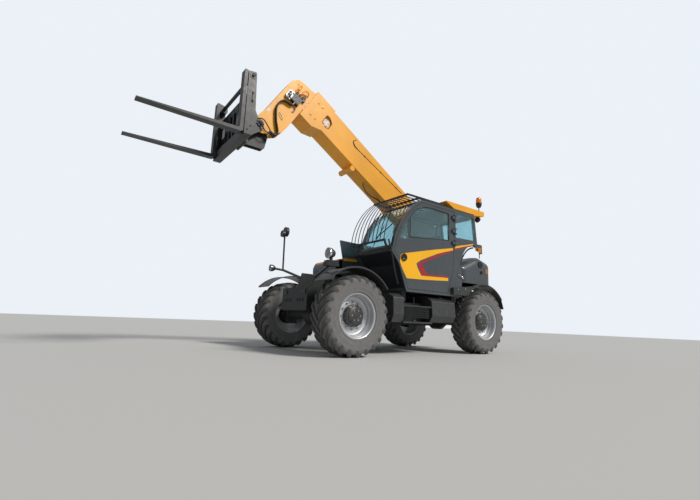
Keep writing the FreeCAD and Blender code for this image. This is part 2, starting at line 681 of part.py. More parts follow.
def boom_head():
    """Head: a hollow leg square to the boom, narrowing to the carriage's pivot."""
    half = HEAD_WIDTH / 2.0
    inner_high = inner_size()[2]
    profile = [
        (HEAD_REAR_S, inner_high), (HEAD_FRONT_S - 80.0, HEAD_TOP_T, 100.0), (HEAD_FRONT_S, 80.0, 100.0),
        (HEAD_FRONT_S, -700.0, 200.0), (HEAD_FRONT_S + 25.0, -925.0, 60.0),
        (CARRIAGE_PIN_S - 9.0, CARRIAGE_PIN_T - 115.0, 60.0), (CARRIAGE_PIN_S - 134.0, CARRIAGE_PIN_T - 45.0, 60.0),
        (HEAD_REAR_S + 10.0, -830.0, 90.0), (HEAD_REAR_S, -650.0, 200.0)]
    solid = side_plate(profile, -half, half)
    plate = HEAD_PLATE
    hollow = side_plate([
        (HEAD_REAR_S + plate, inner_high - 2.0 * plate), (HEAD_FRONT_S - 100.0, HEAD_TOP_T - 2.0 * plate, 60.0),
        (HEAD_FRONT_S - plate, 60.0, 60.0), (HEAD_FRONT_S - plate, -720.0), (HEAD_FRONT_S + 200.0, -720.0),
        (HEAD_FRONT_S + 200.0, -1400.0), (HEAD_REAR_S - 200.0, -1400.0), (HEAD_REAR_S - 200.0, -800.0),
        (HEAD_REAR_S + plate, -800.0)], -half + plate, half - plate)
    bore = across(CARRIAGE_PIN_S, CARRIAGE_PIN_T, -half - 1.0, half + 1.0, CARRIAGE_PIN_RADIUS + RUNNING_FIT)
    side = half + HOSE_SPACING * HOSE_COUNT + 5.0
    block = box(VALVE_S - 80.0, VALVE_S + 80.0, half - 1.0, side, VALVE_LOW_T, VALVE_LOW_T + 140.0)
    clip = box(HOSE_END_S, HOSE_END_S + 16.0, half - 1.0, side, HOSE_END_T - 20.0, HOSE_END_T + 20.0)
    return fuse([solid.cut(hollow).cut(bore), block, clip])


def head_hoses():
    """Hoses down the head's left side, from the valve block round behind the head to their clip."""
    hoses = []
    for i in range(HOSE_COUNT):
        y = HEAD_WIDTH / 2.0 + HOSE_SPACING * (i + 0.6)
        route = [(HOSE_ROUTE[0][0], VALVE_LOW_T - SEAT_GAP)] + list(HOSE_ROUTE) + [
            (HOSE_END_S - 85.0, HOSE_END_T), (HOSE_END_S - SEAT_GAP, HOSE_END_T)]
        hoses.append(cord([Vector(s, y, t) for s, t in route], HOSE_RADIUS))
    return apart(hoses)


def cylinder_barrel(length, radius, bore, rod_radius, eye_half_width, eye_radius, pin_bore):
    """Barrel along X from its base eye, closed behind and with a gland in front."""
    tube = rod((eye_radius + 25.0, 0, 0), (length, 0, 0), radius)
    eye = across(0.0, 0.0, -eye_half_width, eye_half_width, eye_radius)
    neck_half = min(eye_half_width, radius) - 4.0
    neck = box(0.0, eye_radius + 35.0, -neck_half, neck_half, -radius * 0.7, radius * 0.7)
    solid = fuse([tube, neck, eye])
    solid = solid.cut(rod((eye_radius + 50.0, 0, 0), (length - 45.0, 0, 0), bore))
    solid = solid.cut(rod((length - 60.0, 0, 0), (length + 1.0, 0, 0), rod_radius + RUNNING_FIT))
    return solid.cut(across(0.0, 0.0, -eye_half_width - 1.0, eye_half_width + 1.0, pin_bore)) if pin_bore else solid


def cylinder_rod(start, length, radius, piston, eye_half_width, eye_radius):
    """Rod along X with its piston behind and its eye in front."""
    bar = rod((start, 0, 0), (length - eye_radius + 12.0, 0, 0), radius)
    disc = rod((start, 0, 0), (start + 50.0, 0, 0), piston)
    eye = across(length, 0.0, -eye_half_width, eye_half_width, eye_radius)
    return fuse([bar, disc, eye])


def build_lift_cylinder():
    """Lift cylinder between the frame and the boom's ears."""
    start = (LIFT_BASE_X, LIFT_BASE_Z)
    end = boom_point(LIFT_EYE_S, LIFT_EYE_T)
    length = math.hypot(end[0] - start[0], end[1] - start[1])
    bore = LIFT_BARREL_RADIUS - 13.0
    barrel = cylinder_barrel(
        LIFT_BARREL_LENGTH, LIFT_BARREL_RADIUS, bore, LIFT_ROD_RADIUS, LIFT_EYE_HALF_WIDTH, 70.0,
        KINGPIN_RADIUS + RUNNING_FIT)
    piston_x = 640.0
    bar = cylinder_rod(piston_x, length, LIFT_ROD_RADIUS, bore - SEAT_GAP, LIFT_EYE_HALF_WIDTH, LIFT_EYE_RADIUS)
    save("lift_barrel", aim(barrel, start, end))
    save("lift_rod", aim(bar, start, end))


def build_tilt_cylinder():
    """Tilt cylinder inside the head, pushing the carriage's lower lever."""
    start = boom_point(TILT_BASE_S, TILT_BASE_T)
    end = boom_point(TILT_EYE_S, TILT_EYE_T)
    length = math.hypot(end[0] - start[0], end[1] - start[1])
    bore = TILT_BARREL_RADIUS - 10.0
    half = HEAD_WIDTH / 2.0 - HEAD_PLATE - SEAT_GAP
    barrel = cylinder_barrel(TILT_BARREL_LENGTH, TILT_BARREL_RADIUS, bore, TILT_ROD_RADIUS, half, 52.0, None)
    bar = cylinder_rod(330.0, length, TILT_ROD_RADIUS, bore - SEAT_GAP, TILT_EYE_HALF_WIDTH, 42.0)
    save("tilt_barrel", aim(barrel, start, end))
    save("tilt_rod", aim(bar, start, end))


def coupler():
    """Quick coupler: pin, ears outside the head, lever plates inside it and the plate behind the fork frame."""
    pin_x, pin_z = boom_point(CARRIAGE_PIN_S, CARRIAGE_PIN_T)
    eye_x, eye_z = boom_point(TILT_EYE_S, TILT_EYE_T)
    ear_low = HEAD_WIDTH / 2.0 + MOVING_GAP
    ear_high = ear_low + 30.0
    back_x = pin_x + 175.0
    front_x = CARRIAGE_REAR_X - SEAT_GAP
    pieces = [across(pin_x, pin_z, -ear_high - 20.0, ear_high + 20.0, CARRIAGE_PIN_RADIUS)]
    for side in (-1, 1):
        y_low, y_high = sorted((side * ear_low, side * ear_high))
        pieces.append(side_plate([
            (pin_x - 70.0, pin_z + 70.0, 60.0), (pin_x - 70.0, pin_z - 70.0, 60.0), (back_x, pin_z - 260.0),
            (back_x + 40.0, pin_z - 260.0), (back_x + 40.0, pin_z + 150.0), (back_x, pin_z + 150.0)],
            y_low, y_high))
        y_low, y_high = sorted((side * (TILT_EYE_HALF_WIDTH + MOVING_GAP), side * (TILT_EYE_HALF_WIDTH + 34.0)))
        pieces.append(side_plate([
            (eye_x - 55.0, eye_z + 45.0, 45.0), (eye_x - 10.0, eye_z - 180.0, 40.0),
            (back_x + 20.0, pin_z - 335.0, 20.0), (back_x + 20.0, pin_z - 60.0),
            (pin_x + 60.0, pin_z + 65.0, 50.0), (pin_x - 60.0, pin_z + 60.0, 50.0)], y_low, y_high))
    pieces.append(box(back_x, back_x + 30.0, -190.0, 190.0, pin_z - 365.0, pin_z + 185.0))
    for z in (pin_z - 345.0, pin_z + 90.0):
        pieces.append(box(back_x, front_x, -190.0, 190.0, z, z + 80.0))
    return fuse(pieces)


def fork_frame():
    """Fork frame: side plates, lower beam, top plate, slats and the bar that the forks hang on."""
    pieces = []
    rear, front = CARRIAGE_REAR_X, CARRIAGE_FRONT_X
    for side in (-1, 1):
        y_low, y_high = sorted((side * (CARRIAGE_HALF_WIDTH - 22.0), side * CARRIAGE_HALF_WIDTH))
        pieces.append(side_plate([
            (rear + 5.0, SIDE_PLATE_TOP_Z, 20.0), (front, SIDE_PLATE_TOP_Z - 15.0, 10.0),
            (front, CARRIAGE_LOW_Z), (rear, CARRIAGE_LOW_Z), (rear - 60.0, 3290.0, 30.0),
            (rear - 20.0, 3375.0, 40.0)],
            y_low, y_high))
    width = CARRIAGE_HALF_WIDTH - 10.0
    pieces.append(box(rear, front, -width, width, CARRIAGE_LOW_Z, CARRIAGE_LOW_Z + 120.0))
    pieces.append(box(rear, rear + 40.0, -width, width, CARRIAGE_TOP_Z - 160.0, CARRIAGE_TOP_Z - 40.0))
    pieces.append(box(rear, rear + 25.0, -width, width, 3300.0, 3380.0))
    pitch = 2.0 * (width - 80.0) / (SLAT_COUNT - 1)
    for i in range(SLAT_COUNT):
        y = -width + 80.0 + i * pitch
        pieces.append(box(rear, rear + 45.0, y - 22.0, y + 22.0, CARRIAGE_LOW_Z + 60.0, CARRIAGE_TOP_Z - 60.0))
    pieces.append(across(SHAFT_X, SHAFT_Z, -CARRIAGE_HALF_WIDTH + 5.0, CARRIAGE_HALF_WIDTH - 5.0, SHAFT_RADIUS))
    return fuse(pieces)


def fork(y):
    """One fork: tapering blade, heel, shank and the hook on the fork bar."""
    back = CARRIAGE_FRONT_X + MOVING_GAP
    face = back + FORK_THICKNESS
    blade = side_plate([
        (back, FORK_TOP_Z, 8.0), (face, FORK_TOP_Z, 8.0), (face, FORK_LOW_Z + FORK_THICKNESS, 20.0),
        (TINE_REACH, FORK_LOW_Z + FORK_TIP_THICKNESS), (TINE_REACH, FORK_LOW_Z + 4.0),
        (face + 400.0, FORK_LOW_Z), (back, FORK_LOW_Z, 35.0)], -FORK_WIDTH / 2.0, FORK_WIDTH / 2.0)
    hook = side_plate([
        (SHAFT_X - 58.0, SHAFT_Z - 55.0, 30.0), (SHAFT_X - 58.0, SHAFT_Z + 55.0, 40.0),
        (back + 5.0, SHAFT_Z + 75.0), (back + 5.0, SHAFT_Z - 60.0)],
        -FORK_WIDTH / 2.0 + 20.0, FORK_WIDTH / 2.0 - 20.0)
    solid = fuse([blade, hook])
    solid = solid.cut(across(SHAFT_X, SHAFT_Z, -FORK_WIDTH, FORK_WIDTH, SHAFT_RADIUS + RUNNING_FIT))
    solid.translate(Vector(0, y, 0))
    return solid


def cab_profile(inset, y_low, y_high):
    """The cab's side outline, drawn in by an inset and as thick as the span in Y."""
    face = outline([
        (490.0, CAB_FLOOR_Z, 40.0), (655.0, 1430.0, 150.0), (822.0, 1630.0, 60.0), (650.0, 2284.0, 1300.0),
        (150.0, CAB_ROOF_Z, 160.0), (CAB_REAR_X + 30.0, CAB_ROOF_Z, 60.0), (CAB_REAR_X - 45.0, 2010.0, 30.0),
        (CAB_LOWER_REAR_X, CAB_ARCH_Z, CAB_ARCH_RADIUS), (CAB_LOWER_REAR_X, CAB_FLOOR_Z, 30.0)],
        lambda x, z: Vector(x, y_low, z))
    if inset:
        face = face.makeOffset2D(-inset)
    return face.extrude(Vector(0, y_high - y_low, 0))


def door_blank(inset, y_low, y_high):
    """The door's outline, drawn in by an inset: straight behind, cut forwards below the window over the wheel."""
    rear, top, low = DOOR_REAR_X + inset, CAB_ROOF_Z - 50.0 - inset, CAB_FLOOR_Z + 35.0 + inset
    room = side_plate([
        (rear, top), (2000.0, top), (2000.0, low), (DOOR_LOW_REAR_X + inset, low),
        (DOOR_REAR_X + 50.0 + inset, CAB_FLOOR_Z + 400.0, 60.0), (rear, DOOR_BEND_Z, 60.0)], y_low, y_high)
    return cab_profile(DOOR_FRAME + inset, y_low, y_high).common(room)


def above_sill(y_low, y_high, drop):
    """Everything above the door's rising window sill, moved down by a drop."""
    return side_plate([
        (1000.0, SILL_FRONT_Z - drop), (1000.0, 3000.0), (-1000.0, 3000.0),
        (-1000.0, SILL_FRONT_Z + SILL_RISE - drop)], y_low, y_high)


def cab_windows(inset):
    """Openings drawn in by an inset: windscreen, rear, right side, rear quarter, roof."""
    y_low, y_high = CAB_INNER_Y + 60.0 + inset, CAB_OUTER_Y - 60.0 - inset
    windscreen = box(60.0, 1000.0, y_low, y_high, 1730.0 + inset, 2545.0 - inset)
    rear = box(CAB_REAR_X - 100.0, CAB_REAR_X + 140.0, y_low, y_high, 2110.0 + inset, 2520.0 - inset)
    band = box(
        -1150.0 + inset, 1000.0, CAB_INNER_Y - 1.0, CAB_INNER_Y + CAB_WALL + 1.0,
        1780.0 + inset, 2520.0 - inset)
    right = cab_profile(95.0 + inset, CAB_INNER_Y - 1.0, CAB_INNER_Y + CAB_WALL + 1.0).common(band)
    quarter = side_plate([
        (-745.0 - inset, 2075.0 + inset, 30.0), (-745.0 - inset, 2535.0 - inset, 30.0),
        (CAB_REAR_X + 75.0 + inset, 2535.0 - inset, 30.0), (CAB_REAR_X + 20.0 + inset, 2095.0 + inset, 30.0)],
        CAB_OUTER_Y - CAB_WALL - 1.0, CAB_OUTER_Y + 1.0)
    roof = box(-380.0 + inset, 20.0 - inset, y_low, y_high, CAB_ROOF_Z - 60.0, CAB_ROOF_Z + 1.0)
    return windscreen, rear, right, quarter, roof


def cab_walls():
    """The whole hollow cab before its front panel is parted from it."""
    solid = cab_profile(0.0, CAB_INNER_Y, CAB_OUTER_Y)
    solid = solid.cut(cab_profile(CAB_WALL, CAB_INNER_Y + CAB_WALL, CAB_OUTER_Y - CAB_WALL))
    for opening in cab_windows(0.0):
        solid = solid.cut(opening)
    solid = solid.cut(door_blank(0.0, CAB_OUTER_Y - CAB_WALL - 1.0, CAB_OUTER_Y + 1.0))
    fin = side_plate([
        (CAB_REAR_X + 10.0, 2045.0), (FIN_END_X, 2042.0, 10.0), (FIN_END_X - 5.0, 1870.0, 10.0),
        (FIN_END_X + 45.0, 1870.0, 10.0),
        (FIN_END_X + 60.0, 1955.0, 30.0), (CAB_REAR_X + 40.0, 1985.0)], CAB_OUTER_Y - CAB_WALL, CAB_OUTER_Y)
    return fuse([solid, fin])


def front_panel_room():
    """The space that the cab's front lower panel fills."""
    return box(300.0, 1000.0, CAB_INNER_Y + CAB_WALL, CAB_OUTER_Y - CAB_WALL, CAB_FLOOR_Z + CAB_WALL + 20.0, 1700.0)


def cab_glass():
    """Windscreen, rear, right, rear quarter and roof panes, each inside its opening."""
    windscreen, rear, right, quarter, roof = cab_windows(SEAT_GAP)
    curved = cab_profile(PANE_DEPTH, CAB_INNER_Y, CAB_OUTER_Y)
    curved = curved.cut(cab_profile(PANE_DEPTH + GLASS, CAB_INNER_Y - 1.0, CAB_OUTER_Y + 1.0))
    right_y = CAB_INNER_Y + PANE_DEPTH
    left_y = CAB_OUTER_Y - PANE_DEPTH - GLASS
    side = right.common(box(-2000.0, 1000.0, right_y, right_y + GLASS, 0.0, 3000.0))
    corner = quarter.common(box(-2000.0, 0.0, left_y, left_y + GLASS, 0.0, 3000.0))
    panes = [curved.common(opening) for opening in (windscreen, rear, roof)]
    return apart(panes + [side, corner])


def door_window(inset, y_low, y_high):
    """The two window openings of the door, parted by an upright bar."""
    whole = door_blank(DOOR_RIM + inset, y_low, y_high).common(above_sill(y_low, y_high, -inset))
    bar = box(DOOR_BAR_X - 14.0 - inset, DOOR_BAR_X + 14.0 + inset, y_low, y_high, 1000.0, 3000.0)
    rear = box(DOOR_REAR_X - 10.0, DOOR_WINDOW_REAR_X + inset, y_low - 1.0, y_high + 1.0, 1000.0, 3000.0)
    return whole.cut(bar).cut(rear)


def door_panel():
    """Curved door with its window cut, hinge leaves and round latch."""
    y_low, y_high = CAB_OUTER_Y - CAB_WALL, CAB_OUTER_Y
    solid = door_blank(DOOR_GAP, y_low, y_high).cut(door_window(0.0, y_low - 1.0, y_high + 1.0))
    pieces = [solid]
    for z in DOOR_HINGE_Z:
        pieces.append(Part.makeCylinder(HINGE_RADIUS, 60.0, Vector(DOOR_REAR_X, HINGE_Y, z)))
        pieces.append(box(DOOR_REAR_X, DOOR_REAR_X + 70.0, y_high - 4.0, HINGE_Y + 6.0, z, z + 60.0))
    pieces.append(across(LATCH_X, LATCH_Z, y_high - 2.0, y_high + 14.0, 44.0))
    solid = fuse(pieces)
    for z in DOOR_HINGE_Z:
        bore = Part.makeCylinder(HINGE_PIN_RADIUS + RUNNING_FIT, 62.0, Vector(DOOR_REAR_X, HINGE_Y, z - 1.0))
        solid = solid.cut(bore)
    return solid


def cab_hinges():
    """Hinge pins and brackets on the rear door pillar."""
    pieces = []
    for z in DOOR_HINGE_Z:
        pieces.append(Part.makeCylinder(HINGE_PIN_RADIUS, 110.0, Vector(DOOR_REAR_X, HINGE_Y, z - 25.0)))
        for low in (z - 25.0, z + 60.0 + 3.0):
            pieces.append(box(
                DOOR_REAR_X - HINGE_REACH, DOOR_REAR_X - DOOR_GAP, CAB_OUTER_Y - 4.0, HINGE_Y + 12.0,
                low, low + 22.0))
            pieces.append(box(
                DOOR_REAR_X - HINGE_REACH, DOOR_REAR_X + 10.0, CAB_OUTER_Y + 8.0, HINGE_Y + 12.0, low, low + 22.0))
    return pieces


def cab_shell():
    """Cab frame and walls, with the door hinges' fixed halves."""
    shell = cab_walls().cut(front_panel_room())
    return fuse([shell] + cab_hinges())


def door_glass():
    """The door's two panes."""
    pane_y = CAB_OUTER_Y - PANE_DEPTH - GLASS
    return door_window(SEAT_GAP, pane_y, pane_y + GLASS)


def cab_roof():
    """Yellow roof cap over the rear half of the cab."""
    return side_plate([
        (-470.0, ROOF_CAP_Z, 10.0), (-1640.0, ROOF_CAP_Z, 10.0), (-1640.0, 2640.0, 8.0),
        (CAB_REAR_X + 20.0, CAB_ROOF_Z + SEAT_GAP, 8.0), (-760.0, CAB_ROOF_Z + SEAT_GAP, 8.0)],
        CAB_INNER_Y + 20.0, CAB_OUTER_Y - 10.0)


def roof_guard():
    """Falling-object guard: roof grid, curved windscreen bars, base bar and its legs."""
    y_low, y_high = GUARD_LOW_Y, GUARD_HIGH_Y
    z_low, z_high = GUARD_Z, GUARD_Z + GUARD_BAR
    rear_x = -440.0
    pieces = []
    for x in (rear_x, -130.0, 170.0, GUARD_FRONT_X - GUARD_BAR):
        pieces.append(box(x, x + GUARD_BAR, y_low, y_high, z_low, z_high))
    pitch = (y_high - y_low - GUARD_BAR) / (GUARD_BARS - 1)
    for i in range(GUARD_BARS):
        y = y_low + i * pitch
        wide = GUARD_BAR if i in (0, GUARD_BARS - 1) else 14.0
        pieces.append(box(rear_x, GUARD_FRONT_X, y, y + wide, z_low + 2.0, z_low + 2.0 + wide))
        start = Vector(GUARD_BASE_X, 0, GUARD_BASE_Z + 10.0)
        middle = Vector(GUARD_BASE_X - 120.0, 0, GUARD_BASE_Z + 430.0)
        end = Vector(GUARD_FRONT_X - 12.0, 0, z_low + 6.0)
        pieces.append(curved_bar(start, middle, end, y + 2.0, y + 12.0))
    pieces.append(box(
        GUARD_BASE_X - 14.0, GUARD_BASE_X + 14.0, y_low, y_high, GUARD_BASE_Z - 14.0, GUARD_BASE_Z + 14.0))
    for y in (CAB_INNER_Y + 10.0, CAB_OUTER_Y - 34.0):
        pieces.append(side_plate([
            (GUARD_BASE_X - 14.0, GUARD_BASE_Z), (GUARD_BASE_X + 14.0, GUARD_BASE_Z),
            (GUARD_BASE_X - 60.0, GUARD_BASE_Z - 170.0), (740.0, GUARD_BASE_Z - 170.0),
            (740.0, GUARD_BASE_Z - 140.0), (GUARD_BASE_X - 80.0, GUARD_BASE_Z - 140.0)], y, y + 24.0))
    for x in (rear_x, -130.0):
        for y in (CAB_INNER_Y + 10.0, y_high - 40.0):
            pieces.append(box(x, x + 30.0, y, y + 30.0, CAB_ROOF_Z - 10.0, z_low + 4.0))
    return fuse(pieces).cut(cab_profile(-SEAT_GAP, CAB_INNER_Y - SEAT_GAP, CAB_OUTER_Y + SEAT_GAP))


def curved_bar(start, middle, end, y_low, y_high):
    """A bar bent to one arc in X and Z, between two Y values."""
    thick = Vector(10.0, 0, 4.0)
    low = Vector(0, y_low, 0)
    edges = [
        Part.Arc(start + low, middle + low, end + low).toShape(),
        Part.LineSegment(end + low, end + low + thick).toShape(),
        Part.Arc(end + low + thick, middle + low + thick, start + low + thick).toShape(),
        Part.LineSegment(start + low + thick, start + low).toShape()]
    return Part.Face(Part.Wire(edges)).extrude(Vector(0, y_high - y_low, 0))


def seat():
    """Driver's seat: base, cushion, back and head rest."""
    y = CAB_MIDDLE_Y
    base = box(-620.0, -180.0, y - 170.0, y + 170.0, CAB_FLOOR_Z + CAB_WALL + SEAT_GAP, 1400.0)
    cushion = box(-640.0, -130.0, y - 250.0, y + 250.0, 1395.0, 1500.0)
    back = side_plate([
        (-640.0, 1480.0), (-520.0, 1480.0), (-620.0, 2130.0, 30.0), (-740.0, 2130.0, 30.0)], y - 230.0, y + 230.0)
    return fuse([base, cushion, back])


def dashboard():
    """Dashboard, steering column and steering wheel."""
    y = CAB_MIDDLE_Y
    floor = CAB_FLOOR_Z + CAB_WALL + SEAT_GAP
    console = side_plate([
        (330.0, floor), (430.0, floor), (590.0, 1440.0), (690.0, 1600.0), (560.0, 1690.0, 40.0),
        (360.0, 1560.0, 40.0)],
        y - 180.0, y + 180.0)
    column = rod((430.0, y, 1560.0), (250.0, y, 1740.0), 35.0)
    wheel = Part.makeTorus(190.0, 14.0, Vector(245.0, y, 1745.0), Vector(-1, 0, 1))
    spokes = rod((245.0, y - 190.0, 1745.0), (245.0, y + 190.0, 1745.0), 11.0)
    return fuse([console, column, wheel, spokes])


def fenders(x, radius, low_deg, high_deg, inner_y):
    """Left and right wheel fenders: curved sheets about an axle."""
    both = []
    for side in (-1, 1):
        y_low, y_high = sorted((side * inner_y, side * FENDER_OUTER_Y))
        sheet = arc_sheet(x, AXLE_Z, radius, FENDER_SHEET, low_deg, high_deg, y_low, y_high)
        arm_low, arm_high = sorted((side * (FRAME_HALF_WIDTH + SEAT_GAP), side * (inner_y + 40.0)))
        post = box(x - 130.0, x - 80.0, arm_low, arm_high, AXLE_Z + radius - 50.0, AXLE_Z + radius - 15.0)
        both.append(fuse([sheet, post]))
    return apart(both)


def arc_sheet(x, z, radius, thickness, low_deg, high_deg, y_low, y_high):
    """A sheet bent about an axis along Y, between two angles from straight ahead."""
    def point(r, degrees):
        angle = math.radians(degrees)
        return Vector(x + r * math.cos(angle), y_low, z + r * math.sin(angle))
    middle = (low_deg + high_deg) / 2.0
    inner = radius - thickness
    edges = [
        Part.Arc(point(radius, low_deg), point(radius, middle), point(radius, high_deg)).toShape(),
        Part.LineSegment(point(radius, high_deg), point(inner, high_deg)).toShape(),
        Part.Arc(point(inner, high_deg), point(inner, middle), point(inner, low_deg)).toShape(),
        Part.LineSegment(point(inner, low_deg), point(radius, low_deg)).toShape()]
    return Part.Face(Part.Wire(edges)).extrude(Vector(0, y_high - y_low, 0))


def side_tank():
    """Fuel tank box under the rear of the door, with chamfered sides."""
    return cross_plate([
        (FRAME_HALF_WIDTH + SEAT_GAP, 540.0, 20.0), (1060.0, 530.0, 30.0), (1130.0, 640.0, 20.0),
        (1110.0, 880.0, 30.0),
        (980.0, 965.0, 20.0), (700.0, 965.0, 20.0), (700.0, 850.0), (FRAME_HALF_WIDTH + SEAT_GAP, 850.0)],
        TANK_REAR_X, TANK_FRONT_X)


def side_steps():
    """Steps under the door with their front box."""
    rear_x = TANK_FRONT_X + SEAT_GAP
    seat_y = FRAME_HALF_WIDTH + SEAT_GAP
    lap = STEP_FRONT_X + 10.0
    pieces = [
        box(rear_x, lap, 850.0, STEP_OUTER_Y, STEP_LOW_Z, STEP_LOW_Z + STEP_PLATE),
        box(rear_x, lap, 875.0, STEP_OUTER_Y - 12.0, STEP_HIGH_Z, STEP_HIGH_Z + STEP_PLATE),
        box(rear_x, lap, seat_y, 870.0, STEP_LOW_Z + 12.0, STEP_LOW_Z + 12.0 + STEP_PLATE),
        box(rear_x, lap, 862.0, 887.0, STEP_LOW_Z + 6.0, 840.0)]
    front_box = cross_plate([
        (seat_y, STEP_LOW_Z + 8.0), (1085.0, STEP_LOW_Z + 8.0, 20.0), (1130.0, 640.0, 20.0), (1120.0, 900.0, 40.0),
        (1000.0, 960.0, 40.0), (700.0, 960.0), (700.0, 830.0), (seat_y, 830.0)], STEP_FRONT_X, BOX_FRONT_X)
    return fuse(pieces + [front_box])


def engine_hood():
    """Side engine hood, open below and towards the boom, hinged along its inner top edge."""
    inner_y = HOOD_INNER_Y - HOOD_GAP

    def body(inset, low_z, y_high):
        return side_plate([
            (HOOD_REAR_X + inset, low_z), (HOOD_REAR_X + inset, HOOD_TOP_Z - inset, 40.0),
            (HOOD_FRONT_X - 60.0 - inset, HOOD_TOP_Z - inset, 120.0), (HOOD_FRONT_X - inset, 1500.0, 60.0),
            (HOOD_FRONT_X - inset, low_z)], HOOD_OUTER_Y + inset, y_high)

    shell = body(0.0, HOOD_LOW_Z, inner_y).cut(body(HOOD_WALL, HOOD_LOW_Z - 50.0, inner_y + 50.0))
    start = (HOOD_REAR_X + 60.0, HOOD_HINGE_Y, HOOD_HINGE_Z)
    end = (HOOD_FRONT_X - 260.0, HOOD_HINGE_Y, HOOD_HINGE_Z)
    barrel = rod(start, end, HOOD_BARREL_RADIUS)
    leaf = box(start[0], end[0], inner_y - 12.0, inner_y, HOOD_TOP_Z - 5.0, HOOD_HINGE_Z)
    solid = fuse([shell, barrel, leaf])
    return solid.cut(rod((HOOD_REAR_X,) + start[1:], (HOOD_FRONT_X,) + end[1:], HINGE_PIN_RADIUS + RUNNING_FIT))


def hood_shield():
    """Fixed inner wall of the engine bay, its upright shield beside the boom and the hood's hinge pin."""
    inner_y = HOOD_INNER_Y
    outer_y = HOOD_INNER_Y + SHIELD_PLATE
    wall = side_plate([
        (HOOD_REAR_X, HOOD_LOW_Z), (HOOD_REAR_X, HOOD_TOP_Z - 30.0), (-420.0, HOOD_TOP_Z - 30.0),
        (-420.0, 1940.0, 30.0), (HOOD_FRONT_X - 60.0, 1970.0, 10.0), (HOOD_FRONT_X - 140.0, HOOD_TOP_Z, 200.0),
        (HOOD_FRONT_X - 140.0, HOOD_LOW_Z)],
        inner_y, outer_y)
    pieces = [wall, rod(
        (HOOD_REAR_X + 20.0, HOOD_HINGE_Y, HOOD_HINGE_Z), (HOOD_FRONT_X - 220.0, HOOD_HINGE_Y, HOOD_HINGE_Z),
        HINGE_PIN_RADIUS)]
    for x in (HOOD_REAR_X + 30.0, HOOD_FRONT_X - 250.0):
        pieces.append(box(x, x + 20.0, inner_y, outer_y, HOOD_TOP_Z - 90.0, HOOD_HINGE_Z + 14.0))
        pieces.append(box(x, x + 20.0, HOOD_HINGE_Y - 14.0, outer_y, HOOD_HINGE_Z - 14.0, HOOD_HINGE_Z + 14.0))
    return fuse(pieces)


def engine_bay_tray():
    """Tray and right side box that carry the engine and the hood."""
    return box(
        HOOD_REAR_X + 60.0, HOOD_FRONT_X - 40.0, HOOD_OUTER_Y + 60.0, HOOD_INNER_Y - SEAT_GAP,
        HOOD_LOW_Z, HOOD_LOW_Z + 15.0)


def engine_block():
    """Engine, one plain block with its real place and size."""
    return box(-560.0, 420.0, -880.0, -420.0, HOOD_LOW_Z + 15.0 + SEAT_GAP, 1520.0)


def right_box():
    """Battery and tool box under the engine bay, the right side's match for the tank."""
    return cross_plate([
        (-FRAME_HALF_WIDTH - SEAT_GAP, 540.0), (-1060.0, 530.0, 30.0), (-1130.0, 640.0, 20.0),
        (-1110.0, 850.0, 30.0),
        (-FRAME_HALF_WIDTH - SEAT_GAP, 855.0)], TANK_REAR_X, BOX_FRONT_X)


def tail_covers():
    """Covers behind the cab and behind the engine, over the rear wheels."""
    both = []
    inner_y = FRAME_HALF_WIDTH + 25.0
    for side in (1, -1):
        front = (CAB_LOWER_REAR_X if side > 0 else HOOD_REAR_X) - MOVING_GAP
        y_low, y_high = sorted((side * inner_y, side * 1085.0))
        cover = side_plate([
            (front, COVER_LOW_Z), (front, COVER_LOW_Z + COVER_FRONT_RISE, 40.0),
            (-1350.0, COVER_LOW_Z + COVER_MIDDLE_RISE, 200.0), (-1520.0, COVER_LOW_Z + COVER_TOP_RISE, 100.0),
            (-1850.0, COVER_LOW_Z + COVER_REAR_RISE, 110.0), (-1850.0, COVER_LOW_Z)], y_low, y_high)
        corner = [e for e in cover.Edges if abs(e.Vertexes[0].X + 1850.0) < 1.0
                  and abs(e.Vertexes[-1].X + 1850.0) < 1.0 and abs(e.Vertexes[0].Y - side * 1085.0) < 1.0
                  and abs(e.Vertexes[-1].Y - side * 1085.0) < 1.0]
        both.append(cover.makeFillet(160.0, corner))
    return apart(both)


def lamp(x, y, z, radius, depth, rake):
    """Round lamp facing forwards, turned outwards by a rake."""
    body = spin([
        (0.0, 0.0), (radius * 0.55, 0.0, 10.0), (radius, -depth * 0.55, 20.0), (radius, -depth), (0.0, -depth)])
    body.rotate(Vector(0, 0, 0), Z_AXIS, -90.0)
    body.rotate(Vector(0, 0, 0), Z_AXIS, 180.0 + rake)
    body.translate(Vector(x, y, z))
    return body


def right_lamp_arms(grow):
    """The two round arms under the right lamp and the mirror, thicker by a clearance."""
    return [
        rod((LAMP_X - 40.0, -LAMP_Y, RIGHT_LAMP_Z), (LAMP_X - 250.0, -LAMP_Y, RIGHT_LAMP_Z - 15.0), 20.0 + grow),
        rod((LAMP_X - 250.0, -LAMP_Y - 10.0, RIGHT_LAMP_Z - 10.0),
            (LAMP_X - 240.0, -FRAME_HALF_WIDTH + 20.0, LAMP_ARM_FOOT_Z), 22.0 + grow)]


